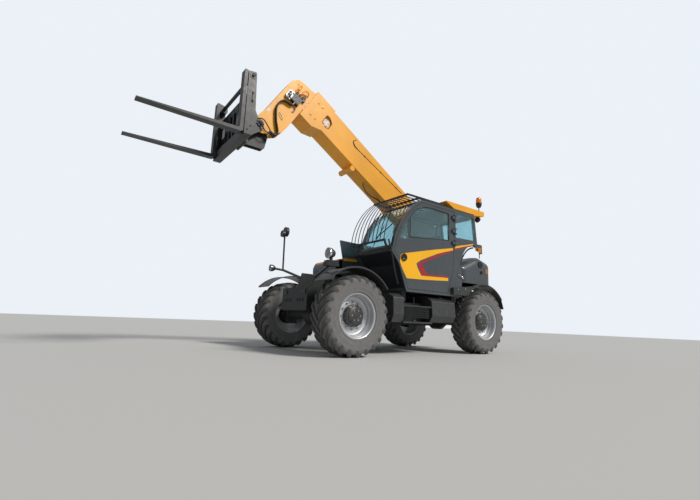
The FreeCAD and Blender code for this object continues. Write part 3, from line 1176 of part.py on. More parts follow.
def head_lamps():
    """Headlamps on their arms from the frame, one on each side."""
    left = fuse([
        lamp(LAMP_X - 90.0, LAMP_Y, LEFT_LAMP_Z, 78.0, 110.0, 0.0),
        rod((LAMP_X - 40.0, LAMP_Y, LEFT_LAMP_Z - 60.0), (LAMP_X - 40.0, LAMP_Y, LEFT_LAMP_Z - 150.0), 24.0),
        rod((LAMP_X - 40.0, LAMP_Y + 20.0, LEFT_LAMP_Z - 140.0),
            (LAMP_X - 240.0, FRAME_HALF_WIDTH - 20.0, LAMP_ARM_FOOT_Z), 22.0)])
    right = fuse([lamp(LAMP_X - 90.0, -LAMP_Y, RIGHT_LAMP_Z, 62.0, 95.0, 0.0)] + right_lamp_arms(0.0))
    seat_y = FRAME_HALF_WIDTH + SEAT_GAP
    return apart([left, right]).cut(box(FRONT_AXLE_X, NOSE_X, -seat_y, seat_y, 1000.0, 1400.0))


def mirror_post():
    """Right mirror post with its two mirrors, standing on the lamp's arms."""
    x, y = LAMP_X - 250.0, -LAMP_Y
    post = rod((x, y, RIGHT_LAMP_Z - 20.0), (x + 10.0, y, 2010.0), 16.0)
    for arm in right_lamp_arms(SEAT_GAP):
        post = post.cut(arm)
    post = max(post.Solids, key=lambda solid: solid.Volume)
    heads = []
    for place, size in (((x - 10.0, y + 10.0, 2110.0), 1.0), ((x + 60.0, y + 30.0, 2060.0), 0.7)):
        shell = rod((place[0] - 25.0, place[1], place[2]), (place[0] + 25.0, place[1], place[2]), 90.0 * size)
        heads.append(shell)
    clamp = rod((x - 2.0, y, 1990.0), (x + 60.0, y + 20.0, 2070.0), 12.0)
    return fuse([post, clamp] + heads)


def beacon():
    """Beacon on its post at the roof's rear, with the rear work lamp below."""
    x, y = -1600.0, 1000.0
    post = rod((x, y, ROOF_CAP_Z + SEAT_GAP), (x, y, 2850.0), 9.0)
    base = rod((x, y, 2840.0), (x, y, 2930.0), 50.0)
    dome = spin([(0.0, 0.0), (58.0, 0.0), (58.0, 70.0, 20.0), (30.0, 118.0, 24.0), (0.0, 118.0)], axis=Z_AXIS,
                centre=Vector(x, y, 2930.0))
    return fuse([post, base, dome])


def build_boom():
    """All pieces that are drawn in the boom's own axes."""
    for node, maker in (("boom_outer", boom_outer), ("boom_collar", boom_collar),
                        ("boom_inner", boom_inner), ("boom_head", boom_head), ("head_hoses", head_hoses)):
        save(node, boom_place(maker()))
    build_lift_cylinder()
    build_tilt_cylinder()


def build_carriage():
    """Coupler, fork frame and forks."""
    save("coupler", coupler())
    save("fork_frame", fork_frame())
    save("fork_left", fork(FORK_SPACING / 2.0))
    save("fork_right", fork(-FORK_SPACING / 2.0))


def build_cab():
    """Cab shell, panes, door, roof, guard and what is inside."""
    save("cab_shell", cab_shell())
    save("cab_front_panel", cab_walls().common(front_panel_room()))
    save("cab_glass", cab_glass())
    save("door_panel", door_panel())
    save("door_glass", door_glass())
    save("cab_roof", cab_roof())
    save("roof_guard", roof_guard())
    save("seat", seat())
    save("dashboard", dashboard())


def build_body():
    """Fenders, side boxes, engine side, tail covers, lamps, mirror and beacon."""
    save("front_fenders", fenders(FRONT_AXLE_X, FENDER_RADIUS, 43.0, 143.0, FENDER_INNER_Y))
    save("rear_fenders", fenders(REAR_AXLE_X, FENDER_RADIUS, 41.0, 141.0, FENDER_INNER_Y - 60.0))
    save("side_tank", side_tank())
    save("side_steps", side_steps())
    save("right_box", right_box())
    save("engine_hood", engine_hood())
    save("hood_shield", hood_shield())
    save("engine_tray", engine_bay_tray())
    save("engine_block", engine_block())
    save("tail_covers", tail_covers())
    save("head_lamps", head_lamps())
    save("mirror_post", mirror_post())
    save("beacon", beacon())


def build_running_gear():
    """Tyres, rims, knuckles and the two axles."""
    kingpin_y = TRACK / 2.0 - KINGPIN_INSET
    wheel_parts = (("tyre", tyre(), TRACK / 2.0), ("rim", rim(), TRACK / 2.0), ("knuckle", knuckle(), kingpin_y))
    for end, x in (("front", FRONT_AXLE_X), ("rear", REAR_AXLE_X)):
        save(end + "_axle", axle(x))
        for side, sign in (("left", 1), ("right", -1)):
            for name, made, y in wheel_parts:
                shape = made.copy() if sign > 0 else mirrored(made)
                shape.translate(Vector(x, sign * y, AXLE_Z))
                save(name + "_" + end + "_" + side, shape)


build_running_gear()
save("frame", frame())
save("tail_block", tail_block())
build_boom()
build_carriage()
build_cab()
build_body()
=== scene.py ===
"""Telehandler with its boom raised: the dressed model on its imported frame.

Metres. Shapes are worked out in the machine's axes, X forward from the middle of the
wheelbase, Y to the machine's left and Z up from the ground, and piece() moves them by
ORIGIN_X to the frame's origin.
"""
import json
import math

import bmesh
import bpy
import mathutils
import numpy as np
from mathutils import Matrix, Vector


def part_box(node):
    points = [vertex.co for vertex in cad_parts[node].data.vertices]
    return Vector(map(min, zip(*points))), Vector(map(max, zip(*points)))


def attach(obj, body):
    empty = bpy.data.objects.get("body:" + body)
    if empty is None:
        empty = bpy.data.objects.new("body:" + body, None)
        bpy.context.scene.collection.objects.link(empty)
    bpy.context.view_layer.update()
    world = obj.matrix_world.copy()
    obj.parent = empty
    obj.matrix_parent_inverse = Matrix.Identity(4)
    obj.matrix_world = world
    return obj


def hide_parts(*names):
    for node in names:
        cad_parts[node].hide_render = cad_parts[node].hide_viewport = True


bl_info = {
    "name": "Telehandler dressing",
    "version": (1, 0, 0),
    "blender": (4, 5, 0),
    "location": "View3D > Sidebar > Telehandler",
    "description": "Builds the telehandler's tyres, wheels, lamps, hoses, trim and finishes on its frame",
    "category": "Object",
}

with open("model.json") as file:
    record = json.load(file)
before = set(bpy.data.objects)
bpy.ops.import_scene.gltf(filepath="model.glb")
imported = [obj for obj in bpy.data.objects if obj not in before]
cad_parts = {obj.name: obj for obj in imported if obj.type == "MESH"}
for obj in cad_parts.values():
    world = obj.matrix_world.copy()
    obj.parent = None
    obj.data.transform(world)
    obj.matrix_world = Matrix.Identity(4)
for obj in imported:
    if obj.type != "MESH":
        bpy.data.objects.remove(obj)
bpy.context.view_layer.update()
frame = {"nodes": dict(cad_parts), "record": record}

ORIGIN = (0.0, 0.0, 0.0)
ACROSS = (0.0, 1.0, 0.0)
AHEAD = (1.0, 0.0, 0.0)

# The frame's origin, the axles and the planes that trim is fitted to
ORIGIN_X = -1.110
AXLE_X = 1.5
AXLE_Z = 0.58
TRACK_Y = 0.98
DOOR_Y = 1.10
BOOM_PIVOT = (-2.0, 1.7)
BOOM_RAISE = math.radians(32.0)
BOOM_SIDE = 0.16
COLLAR_SIDE = 0.176
HEAD_SIDE = 0.13
SHIELD_Y = -0.246
NOSE_X = 1.9
# Place, end and side of each wheel
WHEELS = (("front_left", 1, 1), ("front_right", 1, -1), ("rear_left", -1, 1), ("rear_right", -1, -1))

# Facets of tyres and rims round the axle, and the mean radius that a lug's width is measured at
WHEEL_SIDES = 96
LUG_RADIUS = 0.56
# Height of the port ring's middle above the wall that it lies on
RING_LIFT = 0.0015
# Distance within which a piece's vertices are merged
MERGE_DISTANCE = 0.00002
# Refraction of the panes, and how far smears raise their roughness
GLASS_IOR = 1.45
SMEAR = 0.05


def boom_point(s, y, t):
    """Machine coordinates of points given along the boom, across the machine and square to the boom."""
    s, y, t = np.broadcast_arrays(np.asarray(s, float), np.asarray(y, float), np.asarray(t, float))
    cos, sin = math.cos(BOOM_RAISE), math.sin(BOOM_RAISE)
    return np.stack([BOOM_PIVOT[0] + s * cos - t * sin, y, BOOM_PIVOT[1] + s * sin + t * cos], axis=-1)


def boom_part(shape):
    """A part drawn with s along X and t along Z, moved to the raised boom's place."""
    points, faces = shape
    return boom_point(points[:, 0], points[:, 1], points[:, 2]), faces


# Shapes

def grid_quads(rows, columns, wrap_rows=False, wrap_columns=False):
    """Quads of a grid of points: (i, j), (i + 1, j), (i + 1, j + 1), (i, j + 1), wrapping where asked."""
    i = np.arange(rows if wrap_rows else rows - 1)[:, None]
    j = np.arange(columns if wrap_columns else columns - 1)[None, :]
    after_i = (i + 1) % rows
    after_j = (j + 1) % columns
    corners = np.broadcast_arrays(
        i * columns + j, after_i * columns + j, after_i * columns + after_j, i * columns + after_j)
    return np.stack(corners, axis=-1).reshape(-1, 4)


def part(points, wrap_rows=False, wrap_columns=False, caps=()):
    """Points on a grid with their quads; caps names the end rows that are closed by one flat face."""
    rows, columns = points.shape[:2]
    faces = grid_quads(rows, columns, wrap_rows, wrap_columns).tolist()
    ring = np.arange(columns)
    for row in caps:
        faces.append((ring + row * columns).tolist())
    return points.reshape(-1, 3), faces


def unit(vectors):
    """Each vector divided by its length."""
    return vectors / np.maximum(np.linalg.norm(vectors, axis=-1, keepdims=True), 1e-9)


def circle(radius, sides=12):
    """Section: point at angle a is (radius cos a, radius sin a)."""
    a = np.linspace(0.0, 2.0 * np.pi, sides, endpoint=False)
    return radius * np.stack([np.cos(a), np.sin(a)], axis=-1)


def slab(width, height, chamfer):
    """Section: a rectangle with its corners cut off by a chamfer."""
    w, h, c = width / 2.0, height / 2.0, chamfer
    return np.array([
        (w, h - c), (w - c, h), (c - w, h), (-w, h - c), (-w, c - h), (c - w, -h), (w - c, -h), (w, c - h)])


def curve(points, steps=6):
    """Catmull-Rom curve: between two points it is the cubic whose slopes join each point's neighbours."""
    p = np.asarray(points, float)
    ends = np.vstack([2.0 * p[0] - p[1], p, 2.0 * p[-1] - p[-2]])
    a, b, c, d = ends[:-3, None], ends[1:-2, None], ends[2:-1, None], ends[3:, None]
    t = np.linspace(0.0, 1.0, steps, endpoint=False)[None, :, None]
    square = (2.0 * a - 5.0 * b + 4.0 * c - d) * t ** 2
    cube = (3.0 * b - a - 3.0 * c + d) * t ** 3
    inside = 0.5 * (2.0 * b + (c - a) * t + square + cube)
    return np.vstack([inside.reshape(-1, p.shape[1]), p[-1:]])


def rounded(points, radius, steps=6, closed=True):
    """Corners rounded: each is replaced by the parabola between points at the radius before and after it."""
    p = np.asarray(points, float)
    before = np.roll(p, 1, axis=0) - p
    after = np.roll(p, -1, axis=0) - p
    shorter = np.minimum(np.linalg.norm(before, axis=1), np.linalg.norm(after, axis=1))
    reach = np.minimum(np.broadcast_to(radius, len(p)), 0.48 * shorter)
    start = p + unit(before) * reach[:, None]
    end = p + unit(after) * reach[:, None]
    if not closed:
        start[0] = end[0] = p[0]
        start[-1] = end[-1] = p[-1]
    t = np.linspace(0.0, 1.0, steps)[None, :, None]
    arcs = (1.0 - t) ** 2 * start[:, None] + 2.0 * t * (1.0 - t) * p[:, None] + t ** 2 * end[:, None]
    return arcs.reshape(-1, p.shape[1])


def sweep(section, path, up=(0.0, 0.0, 1.0), closed=False):
    """Section carried along a path: its point (a, b) lies at path + a * side + b * top, with side and top
    square to the path."""
    path = np.asarray(path, float)
    if closed:
        along = unit(np.roll(path, -1, axis=0) - np.roll(path, 1, axis=0))
    else:
        along = unit(np.gradient(path, axis=0))
    side = unit(np.cross(along, np.asarray(up, float)))
    top = np.cross(side, along)
    points = path[:, None] + section[None, :, :1] * side[:, None] + section[None, :, 1:] * top[:, None]
    return part(points, closed, True, () if closed else (0, len(path) - 1))


def strip(path, width, height, chamfer, closed=False):
    """A chamfered bar carried along a path, its width square to the path in X and Z, its height along Y."""
    return sweep(slab(width, height, chamfer), path, ACROSS, closed)


def rod(path, radius, sides=8):
    """A round section carried along a path."""
    return sweep(circle(radius, sides), path, ACROSS)


def lathe(profile, centre=ORIGIN, axis=1, sides=64):
    """Surface of revolution: profile point (r, h) at angle a lies h along the axis, with r cos a and r sin a
    across it."""
    r, h = np.asarray(profile, float).T
    a = np.linspace(0.0, 2.0 * np.pi, sides, endpoint=False)
    points = np.empty((len(r), sides, 3))
    points[..., axis] = h[:, None]
    points[..., (axis + 1) % 3] = r[:, None] * np.cos(a)
    points[..., (axis + 2) % 3] = r[:, None] * np.sin(a)
    return part(points + np.asarray(centre, float), False, True)


def prism(outline, low, high, axis=1):
    """Outline in the two other axes, in their X, Y, Z order, carried straight from low to high."""
    outline = np.asarray(outline, float)
    others = [i for i in range(3) if i != axis]
    points = np.empty((2, len(outline), 3))
    points[..., others] = outline
    points[0, :, axis] = low
    points[1, :, axis] = high
    return part(points, False, True, (0, 1))


def box(a_low, a_high, b_low, b_high):
    """Corners of a rectangle between two limits on each of the outline's axes."""
    return [(a_low, b_low), (a_high, b_low), (a_high, b_high), (a_low, b_high)]


def plate(outline, corner, low, high, axis=1, steps=3):
    """A prism whose outline has its corners rounded."""
    return prism(rounded(outline, corner, steps), low, high, axis)


def at_y(outline, y):
    """Points of an outline in X and Z, put at a place across the machine."""
    return np.insert(np.asarray(outline, float), 1, y, axis=1)


def nut(radius, height, axis=1, sides=6):
    """A chamfered nut or bolt head: a short many-sided turned section closed at its pole."""
    section = [
        (radius * 1.15, 0.0), (radius * 1.15, height * 0.12), (radius, height * 0.14), (radius, height * 0.8),
        (radius * 0.82, height), (0.0, height)]
    return lathe(section, ORIGIN, axis, sides)


def moved(shape, offset):
    """The part moved by an offset."""
    points, faces = shape
    return points + np.asarray(offset, float), faces


def copies(shape, offsets):
    """The same part at each offset."""
    points, faces = shape
    offsets = np.asarray(offsets, float)
    count = len(points)
    everywhere = (points[None] + offsets[:, None]).reshape(-1, 3)
    return everywhere, [[v + k * count for v in face] for k in range(len(offsets)) for face in faces]


def turned(shape, axis, angle):
    """The part turned by an angle in degrees about an axis through the origin."""
    points, faces = shape
    turn = np.array(mathutils.Matrix.Rotation(math.radians(angle), 3, mathutils.Vector(axis)))
    return points @ turn.T, faces


def mirrored(shape):
    """The part on the other side of the machine, its faces turned to stay outward."""
    points, faces = shape
    return points * np.array([1.0, -1.0, 1.0]), [face[::-1] for face in faces]


def reversed_x(shape):
    """The part with front and back exchanged, its faces turned to stay outward."""
    points, faces = shape
    return points * np.array([-1.0, 1.0, 1.0]), [face[::-1] for face in faces]


# Pieces

def matt(name):
    """A finished material by its name."""
    return bpy.data.materials[name]


def piece(name, groups, body, angle=35.0):
    """Join parts into one object that rides on a body. Groups lists (material name, parts), each material
    in a slot of its own, in that order."""
    vertices, faces, indices, count = [], [], [], 0
    for index, (_, parts) in enumerate(groups):
        for points, polygons in parts:
            vertices.append(points + (ORIGIN_X, 0.0, 0.0))
            faces += [[v + count for v in face] for face in polygons]
            indices += [index] * len(polygons)
            count += len(points)
    mesh = bpy.data.meshes.new(name)
    mesh.from_pydata(np.vstack(vertices), [], faces)
    for material, _ in groups:
        mesh.materials.append(matt(material))
    mesh.polygons.foreach_set("material_index", indices)
    clean = bmesh.new()
    clean.from_mesh(mesh)
    bmesh.ops.remove_doubles(clean, verts=clean.verts, dist=MERGE_DISTANCE)
    bmesh.ops.recalc_face_normals(clean, faces=clean.faces)
    clean.to_mesh(mesh)
    clean.free()
    mesh.shade_smooth()
    mesh.set_sharp_from_angle(angle=math.radians(angle))
    obj = bpy.data.objects.new(name, mesh)
    bpy.context.scene.collection.objects.link(obj)
    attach(obj, body)
    return obj


# Finishes

def group(name, inputs, outputs):
    """A new shader node group with its sockets: (name, kind, default)."""
    tree = bpy.data.node_groups.new(name, "ShaderNodeTree")
    for label, kind, default in inputs:
        socket = tree.interface.new_socket(label, in_out="INPUT", socket_type=kind)
        socket.default_value = default
    for label, kind in outputs:
        tree.interface.new_socket(label, in_out="OUTPUT", socket_type=kind)
    return tree


def node(tree, kind, **values):
    """A node with its settings and input values; names with capitals are inputs."""
    made = tree.nodes.new("ShaderNode" + kind)
    for key, value in values.items():
        if key[0].isupper():
            made.inputs[key.replace("_", " ")].default_value = value
        else:
            setattr(made, key, value)
    return made


def link(tree, source, target):
    """Join an output to an input."""
    tree.links.new(source, target)


def math_node(tree, operation, first, second):
    """One sum of two values, each a number or an output."""
    made = node(tree, "Math", operation=operation)
    for socket, value in zip(made.inputs, (first, second)):
        if isinstance(value, (int, float)):
            socket.default_value = value
        else:
            link(tree, value, socket)
    return made.outputs[0]


def spread(tree, value, low, high, to_low=0.0, to_high=1.0):
    """A value's range moved onto another range."""
    made = node(tree, "MapRange", From_Min=low, From_Max=high, To_Min=to_low, To_Max=to_high)
    link(tree, value, made.inputs["Value"])
    return made.outputs["Result"]


def noise(tree, vector, scale, detail=3.0, roughness=0.5):
    """Noise at a scale on a vector."""
    made = node(tree, "TexNoise", Scale=scale, Detail=detail, Roughness=roughness)
    link(tree, vector, made.inputs["Vector"])
    return made.outputs["Fac"]


def worn_finish_group():
    """Finish over a base colour: soft patches, fine grain, and dust that gathers low down and on faces that
    look up."""
    tree = group("worn_finish", [
        ("Base", "NodeSocketColor", (0.5, 0.5, 0.5, 1.0)),
        ("Dust", "NodeSocketColor", (0.40, 0.37, 0.33, 1.0)),
        ("Dust Amount", "NodeSocketFloat", 0.25), ("Dust Height", "NodeSocketFloat", 1.2),
        ("Top Dust", "NodeSocketFloat", 0.1), ("Roughness", "NodeSocketFloat", 0.4),
        ("Patches", "NodeSocketFloat", 0.1), ("Grain Scale", "NodeSocketFloat", 160.0)],
        [("Color", "NodeSocketColor"), ("Roughness", "NodeSocketFloat"), ("Height", "NodeSocketFloat")])
    into, out = tree.nodes.new("NodeGroupInput"), tree.nodes.new("NodeGroupOutput")
    place = node(tree, "TexCoord").outputs["Object"]
    patches = noise(tree, place, 2.5, 6.0)
    grime = noise(tree, place, 19.0, 8.0, 0.7)
    grain = node(tree, "TexNoise", Detail=2.0)
    link(tree, place, grain.inputs["Vector"])
    link(tree, into.outputs["Grain Scale"], grain.inputs["Scale"])
    split = node(tree, "SeparateXYZ")
    link(tree, place, split.inputs["Vector"])
    relative = math_node(tree, "DIVIDE", split.outputs["Z"], into.outputs["Dust Height"])
    low = spread(tree, relative, 0.1, 1.2, 1.0, 0.12)
    speck = spread(tree, grime, 0.34, 0.72)
    facing = node(tree, "SeparateXYZ")
    link(tree, node(tree, "NewGeometry").outputs["Normal"], facing.inputs["Vector"])
    top = math_node(tree, "MULTIPLY", spread(tree, facing.outputs["Z"], 0.5, 1.0), into.outputs["Top Dust"])
    side = math_node(tree, "MULTIPLY", math_node(tree, "MULTIPLY", low, speck), into.outputs["Dust Amount"])
    settled = math_node(tree, "MULTIPLY", top, speck)
    amount = math_node(tree, "MINIMUM", math_node(tree, "ADD", side, settled), 1.0)
    swing = math_node(tree, "MULTIPLY", spread(tree, patches, 0.3, 0.7, -1.0, 1.0), into.outputs["Patches"])
    shade = node(tree, "HueSaturation")
    link(tree, math_node(tree, "ADD", swing, 1.0), shade.inputs["Value"])
    link(tree, into.outputs["Base"], shade.inputs["Color"])
    mix = node(tree, "Mix", data_type="RGBA")
    link(tree, amount, mix.inputs[0])
    link(tree, shade.outputs["Color"], mix.inputs[6])
    link(tree, into.outputs["Dust"], mix.inputs[7])
    uneven = spread(tree, grime, 0.3, 0.7, -0.05, 0.07)
    dusty = math_node(tree, "MULTIPLY", amount, 0.5)
    rough = math_node(tree, "ADD", math_node(tree, "ADD", into.outputs["Roughness"], uneven), dusty)
    link(tree, mix.outputs[2], out.inputs["Color"])
    link(tree, rough, out.inputs["Roughness"])
    link(tree, grain.outputs["Fac"], out.inputs["Height"])
    return tree


def finish(name, colour, roughness, metallic=0.0, dust=0.25, height=1.2, top=0.1, patches=0.08,
           grain=160.0, relief=0.15, depth=0.001, coat=0.0, sheen=0.0, dirt=(0.40, 0.37, 0.33)):
    """A material made with the worn_finish group; relief and depth set the bump."""
    material = bpy.data.materials.new(name)
    material.use_nodes = True
    tree = material.node_tree
    shader = tree.nodes["Principled BSDF"]
    shader.inputs["Metallic"].default_value = metallic
    shader.inputs["Coat Weight"].default_value = coat
    shader.inputs["Sheen Weight"].default_value = sheen
    worn = node(tree, "Group", node_tree=bpy.data.node_groups["worn_finish"], Base=(*colour, 1.0),
                Dust=(*dirt, 1.0), Dust_Amount=dust, Dust_Height=height, Top_Dust=top, Roughness=roughness,
                Patches=patches, Grain_Scale=grain)
    bump = node(tree, "Bump", Distance=depth, Strength=relief)
    link(tree, worn.outputs["Color"], shader.inputs["Base Color"])
    link(tree, worn.outputs["Roughness"], shader.inputs["Roughness"])
    link(tree, worn.outputs["Height"], bump.inputs["Height"])
    link(tree, bump.outputs["Normal"], shader.inputs["Normal"])
    return material


def pane(name, colour, roughness, transmission):
    """A clear or tinted pane whose gloss is uneven, as on washed glass."""
    material = bpy.data.materials.new(name)
    material.use_nodes = True
    tree = material.node_tree
    shader = tree.nodes["Principled BSDF"]
    shader.inputs["Base Color"].default_value = (*colour, 1.0)
    shader.inputs["Transmission Weight"].default_value = transmission
    shader.inputs["IOR"].default_value = GLASS_IOR
    place = node(tree, "TexCoord").outputs["Object"]
    gloss = spread(tree, noise(tree, place, 5.0, 5.0), 0.3, 0.7, roughness, roughness + SMEAR)
    link(tree, gloss, shader.inputs["Roughness"])
    return material


FINISHES = (
    ("chassis_black", (0.013, 0.015, 0.016), 0.52, dict(dust=0.07, height=1.2, top=0.03)),
    ("panel_black", (0.012, 0.014, 0.016), 0.40, dict(dust=0.05, top=0.03)),
    ("seat_cloth", (0.045, 0.045, 0.05), 0.9,
     dict(dust=0.0, grain=420.0, relief=0.5, depth=0.002, sheen=0.3)),
    ("plastic_dark", (0.022, 0.025, 0.028), 0.46,
     dict(dust=0.13, height=1.5, top=0.08, grain=700.0, relief=0.2, coat=0.3)),
    ("engine_iron", (0.16, 0.17, 0.18), 0.6, dict(grain=300.0, relief=0.4, depth=0.002)),
    ("amber", (0.95, 0.30, 0.015), 0.18, dict(dust=0.0, coat=0.6)),
    ("ram_chrome", (0.72, 0.72, 0.74), 0.14, dict(metallic=1.0, dust=0.0)),
    ("fork_steel", (0.030, 0.032, 0.035), 0.42, dict(dust=0.0, patches=0.5, grain=60.0, relief=0.25)),
    ("chrome", (0.80, 0.80, 0.82), 0.10, dict(metallic=1.0, dust=0.0)),
    ("zinc", (0.50, 0.51, 0.52), 0.38, dict(metallic=0.9, dust=0.1)),
    ("rubber_black", (0.018, 0.018, 0.019), 0.62, dict(dust=0.1, grain=500.0)),
    ("hose_black", (0.014, 0.014, 0.015), 0.42, dict(dust=0.05, grain=900.0, relief=0.3)),
    ("stripe_red", (0.45, 0.012, 0.020), 0.3, dict(dust=0.05, coat=0.3)),
    ("valve_silver", (0.40, 0.41, 0.42), 0.42, dict(metallic=0.75, dust=0.3, height=9.0, patches=0.5)),
    ("lens_red", (0.50, 0.01, 0.01), 0.15, dict(dust=0.0, coat=0.7)),
    ("pale_plate", (0.70, 0.71, 0.72), 0.4, dict(dust=0.05)),
    # Flat black for the slots and vents: painted shade where openings would be
    ("recess_black", (0.004, 0.004, 0.004), 0.8, dict(dust=0.0)),
    ("hub_black", (0.022, 0.024, 0.026), 0.34, dict(dust=0.25, height=1.6)),
)


# Settings

def colour_property(name, description, default):
    """A colour that a user can change."""
    return bpy.props.FloatVectorProperty(
        name=name, description=description, default=default, subtype="COLOR", size=3, min=0.0, max=1.0)


class TelehandlerPaint(bpy.types.PropertyGroup):
    """Colours of the machine."""
    yellow: colour_property("Yellow", "Boom and roof paint", (0.93, 0.41, 0.012))
    film: colour_property("Film", "Yellow of the door's film stripes", (1.0, 0.50, 0.006))
    anthracite: colour_property("Anthracite", "Cab, door and hood paint", (0.060, 0.072, 0.080))
    rim: colour_property("Rim", "Wheel rim paint", (0.58, 0.60, 0.63))
    rubber: colour_property("Rubber", "Tyre rubber", (0.060, 0.060, 0.060))
    glass: colour_property("Glass", "Cab glass tint", (0.52, 0.76, 0.82))
    tyre_dust: bpy.props.FloatProperty(
        name="Tyre dust", description="How dusty the tyres are", default=0.45, min=0.0, max=1.0,
        subtype="FACTOR")


class TelehandlerSizes(bpy.types.PropertyGroup):
    """Sizes of the fitted pieces."""
    lug_count: bpy.props.IntProperty(
        name="Lugs a side", description="Tread lugs on each half of a tyre", default=22, min=8, max=40)
    stud_count: bpy.props.IntProperty(
        name="Wheel studs", description="Studs round each wheel disc", default=12, min=5, max=20)
    hose_radius: bpy.props.FloatProperty(
        name="Hose radius", description="Radius of the boom head's hoses", default=0.011, min=0.004, max=0.03,
        unit="LENGTH")
    stripe_relief: bpy.props.FloatProperty(
        name="Stripe thickness", description="Thickness of the door's film stripes", default=0.0008,
        min=0.0002, max=0.004, unit="LENGTH")
    dimple_pitch: bpy.props.FloatProperty(
        name="Tread pitch", description="Distance between the step treads' grip rings", default=0.045,
        min=0.02, max=0.2, unit="LENGTH")
    sun_strength: bpy.props.FloatProperty(
        name="Key light", description="Strength of the key light", default=2.45, min=0.0, max=20.0)
    sky_strength: bpy.props.FloatProperty(
        name="Fill light", description="Strength of the surrounding light", default=0.27, min=0.0, max=5.0)


class TELEHANDLER_OT_finishes(bpy.types.Operator):
    """Make every material and put it on the frame's own nodes, whose imported materials are removed first"""
    bl_idname = "telehandler.finishes"
    bl_label = "Finishes"

    def execute(self, context):
        paint = context.scene.telehandler_paint
        for obj in frame["nodes"].values():
            obj.data.materials.clear()
        for material in [material for material in bpy.data.materials if not material.users]:
            bpy.data.materials.remove(material)
        worn_finish_group()
        for name, colour, roughness, rest in FINISHES:
            finish(name, colour, roughness, **rest)
        finish("body_yellow", paint.yellow, 0.40, dust=0.02, top=0.04, coat=0.15)
        finish("film_yellow", paint.film, 0.42, dust=0.04, top=0.0, patches=0.05)
        finish("body_anthracite", paint.anthracite, 0.30, dust=0.14, height=1.1, top=0.08, coat=0.55)
        finish("rim_grey", paint.rim, 0.34, metallic=0.40, dust=0.08, height=1.6, patches=0.04, relief=0.04,
               coat=0.4)
        tyre = dict(height=3.0, top=0.2, grain=240.0, relief=0.4, depth=0.002, dirt=(0.27, 0.27, 0.265))
        finish("tyre_rubber", paint.rubber, 0.85, dust=paint.tyre_dust * 0.5, **tyre)
        # The wall is 2.5 times lighter than the tread's rubber and takes twice its dust: partly dust, partly
        # painted light of a sunlit wall beside a shaded tread
        finish("tyre_wall", tuple(2.5 * v for v in paint.rubber), 0.88, dust=paint.tyre_dust, **tyre)
        pane("glass", paint.glass, 0.01, 0.92)
        pane("lens", (0.92, 0.94, 0.95), 0.04, 0.75)
        pane("amber_lens", (1.0, 0.42, 0.03), 0.08, 0.55)
        slots = {entry["node"]: entry["material_slot"] for entry in frame["record"]["subparts"]}
        for name, obj in frame["nodes"].items():
            obj.data.materials.append(matt(slots[name]))
        return {"FINISHED"}


# Wheels

def tyre_lug(centre, side, angle):
    """One tread lug: a six-sided section carried from the tyre's middle out over its shoulder, turned ahead as
    it goes. A row of along is (distance from the middle, top radius, base radius, lead angle, half width)."""
    along = curve([
        (-0.012, 0.579, 0.540, 0.00, 0.020), (0.03, 0.580, 0.540, 0.09, 0.023),
        (0.08, 0.580, 0.540, 0.20, 0.026), (0.13, 0.579, 0.536, 0.30, 0.028),
        (0.172, 0.571, 0.524, 0.375, 0.031), (0.196, 0.548, 0.500, 0.405, 0.032),
        (0.208, 0.500, 0.470, 0.42, 0.022)], 2)
    y, top, base, lead, half = along.T[:, :, None]
    across = np.array([-1.5, -1.08, -0.85, 0.85, 1.08, 1.5])
    rise = np.array([0.0, 0.80, 1.0, 1.0, 0.80, 0.0])
    radius = base + (top - base) * rise
    turn = angle + lead + across * half / LUG_RADIUS
    x = radius * np.cos(turn)
    z = radius * np.sin(turn)
    points = np.stack([x, np.broadcast_to(side * y, x.shape), z], axis=-1) + centre
    return part(points, False, True, (0, len(along) - 1))


def closed_ring(section, centre=ORIGIN):
    """A closed section of (radius, place along the axle) turned about the axle, as a ring without ends."""
    points, _ = lathe(section, centre, 1, WHEEL_SIDES)
    return points, grid_quads(len(section), WHEEL_SIDES, True, True).tolist()


def tyre_carcass(centre):
    """Carcass: a closed section turned about the axle, with raised rings on the wall and a rim guard at the
    bead."""
    half = np.array([
        (0.552, 0.0), (0.551, 0.07), (0.546, 0.14), (0.532, 0.185), (0.510, 0.203), (0.480, 0.208),
        (0.470, 0.2095), (0.466, 0.2085), (0.440, 0.2095), (0.410, 0.208), (0.403, 0.2095), (0.397, 0.208),
        (0.370, 0.204), (0.352, 0.201), (0.346, 0.2035), (0.338, 0.203), (0.330, 0.196), (0.318, 0.184),
        (0.307, 0.172), (0.3055, 0.150)])
    other = half[:0:-1] * (1.0, -1.0)
    return closed_ring(np.vstack([half, other]), centre)


def wheel_centre(end, side):
    """Middle of the wheel at an end and a side of the machine, each 1 or -1."""
    return np.array([end * AXLE_X, side * TRACK_Y, AXLE_Z])


class TELEHANDLER_OT_tyres(bpy.types.Operator):
    """Build the four tyres with their tread lugs"""
    bl_idname = "telehandler.tyres"
    bl_label = "Tyres"

    def execute(self, context):
        count = context.scene.telehandler_sizes.lug_count
        pitch = 2.0 * math.pi / count
        for place, end, side in WHEELS:
            centre = wheel_centre(end, side)
            lugs = []
            for half in (1, -1):
                for i in range(count):
                    lugs.append(tyre_lug(centre, half, (i + (half < 0) * 0.5) * pitch))
            groups = [("tyre_wall", [tyre_carcass(centre)]), ("tyre_rubber", lugs)]
            tyre = piece("tread_tyre_" + place, groups, "wheel_" + place, angle=38.0)
            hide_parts("tyre_" + place)
        return {"FINISHED"}


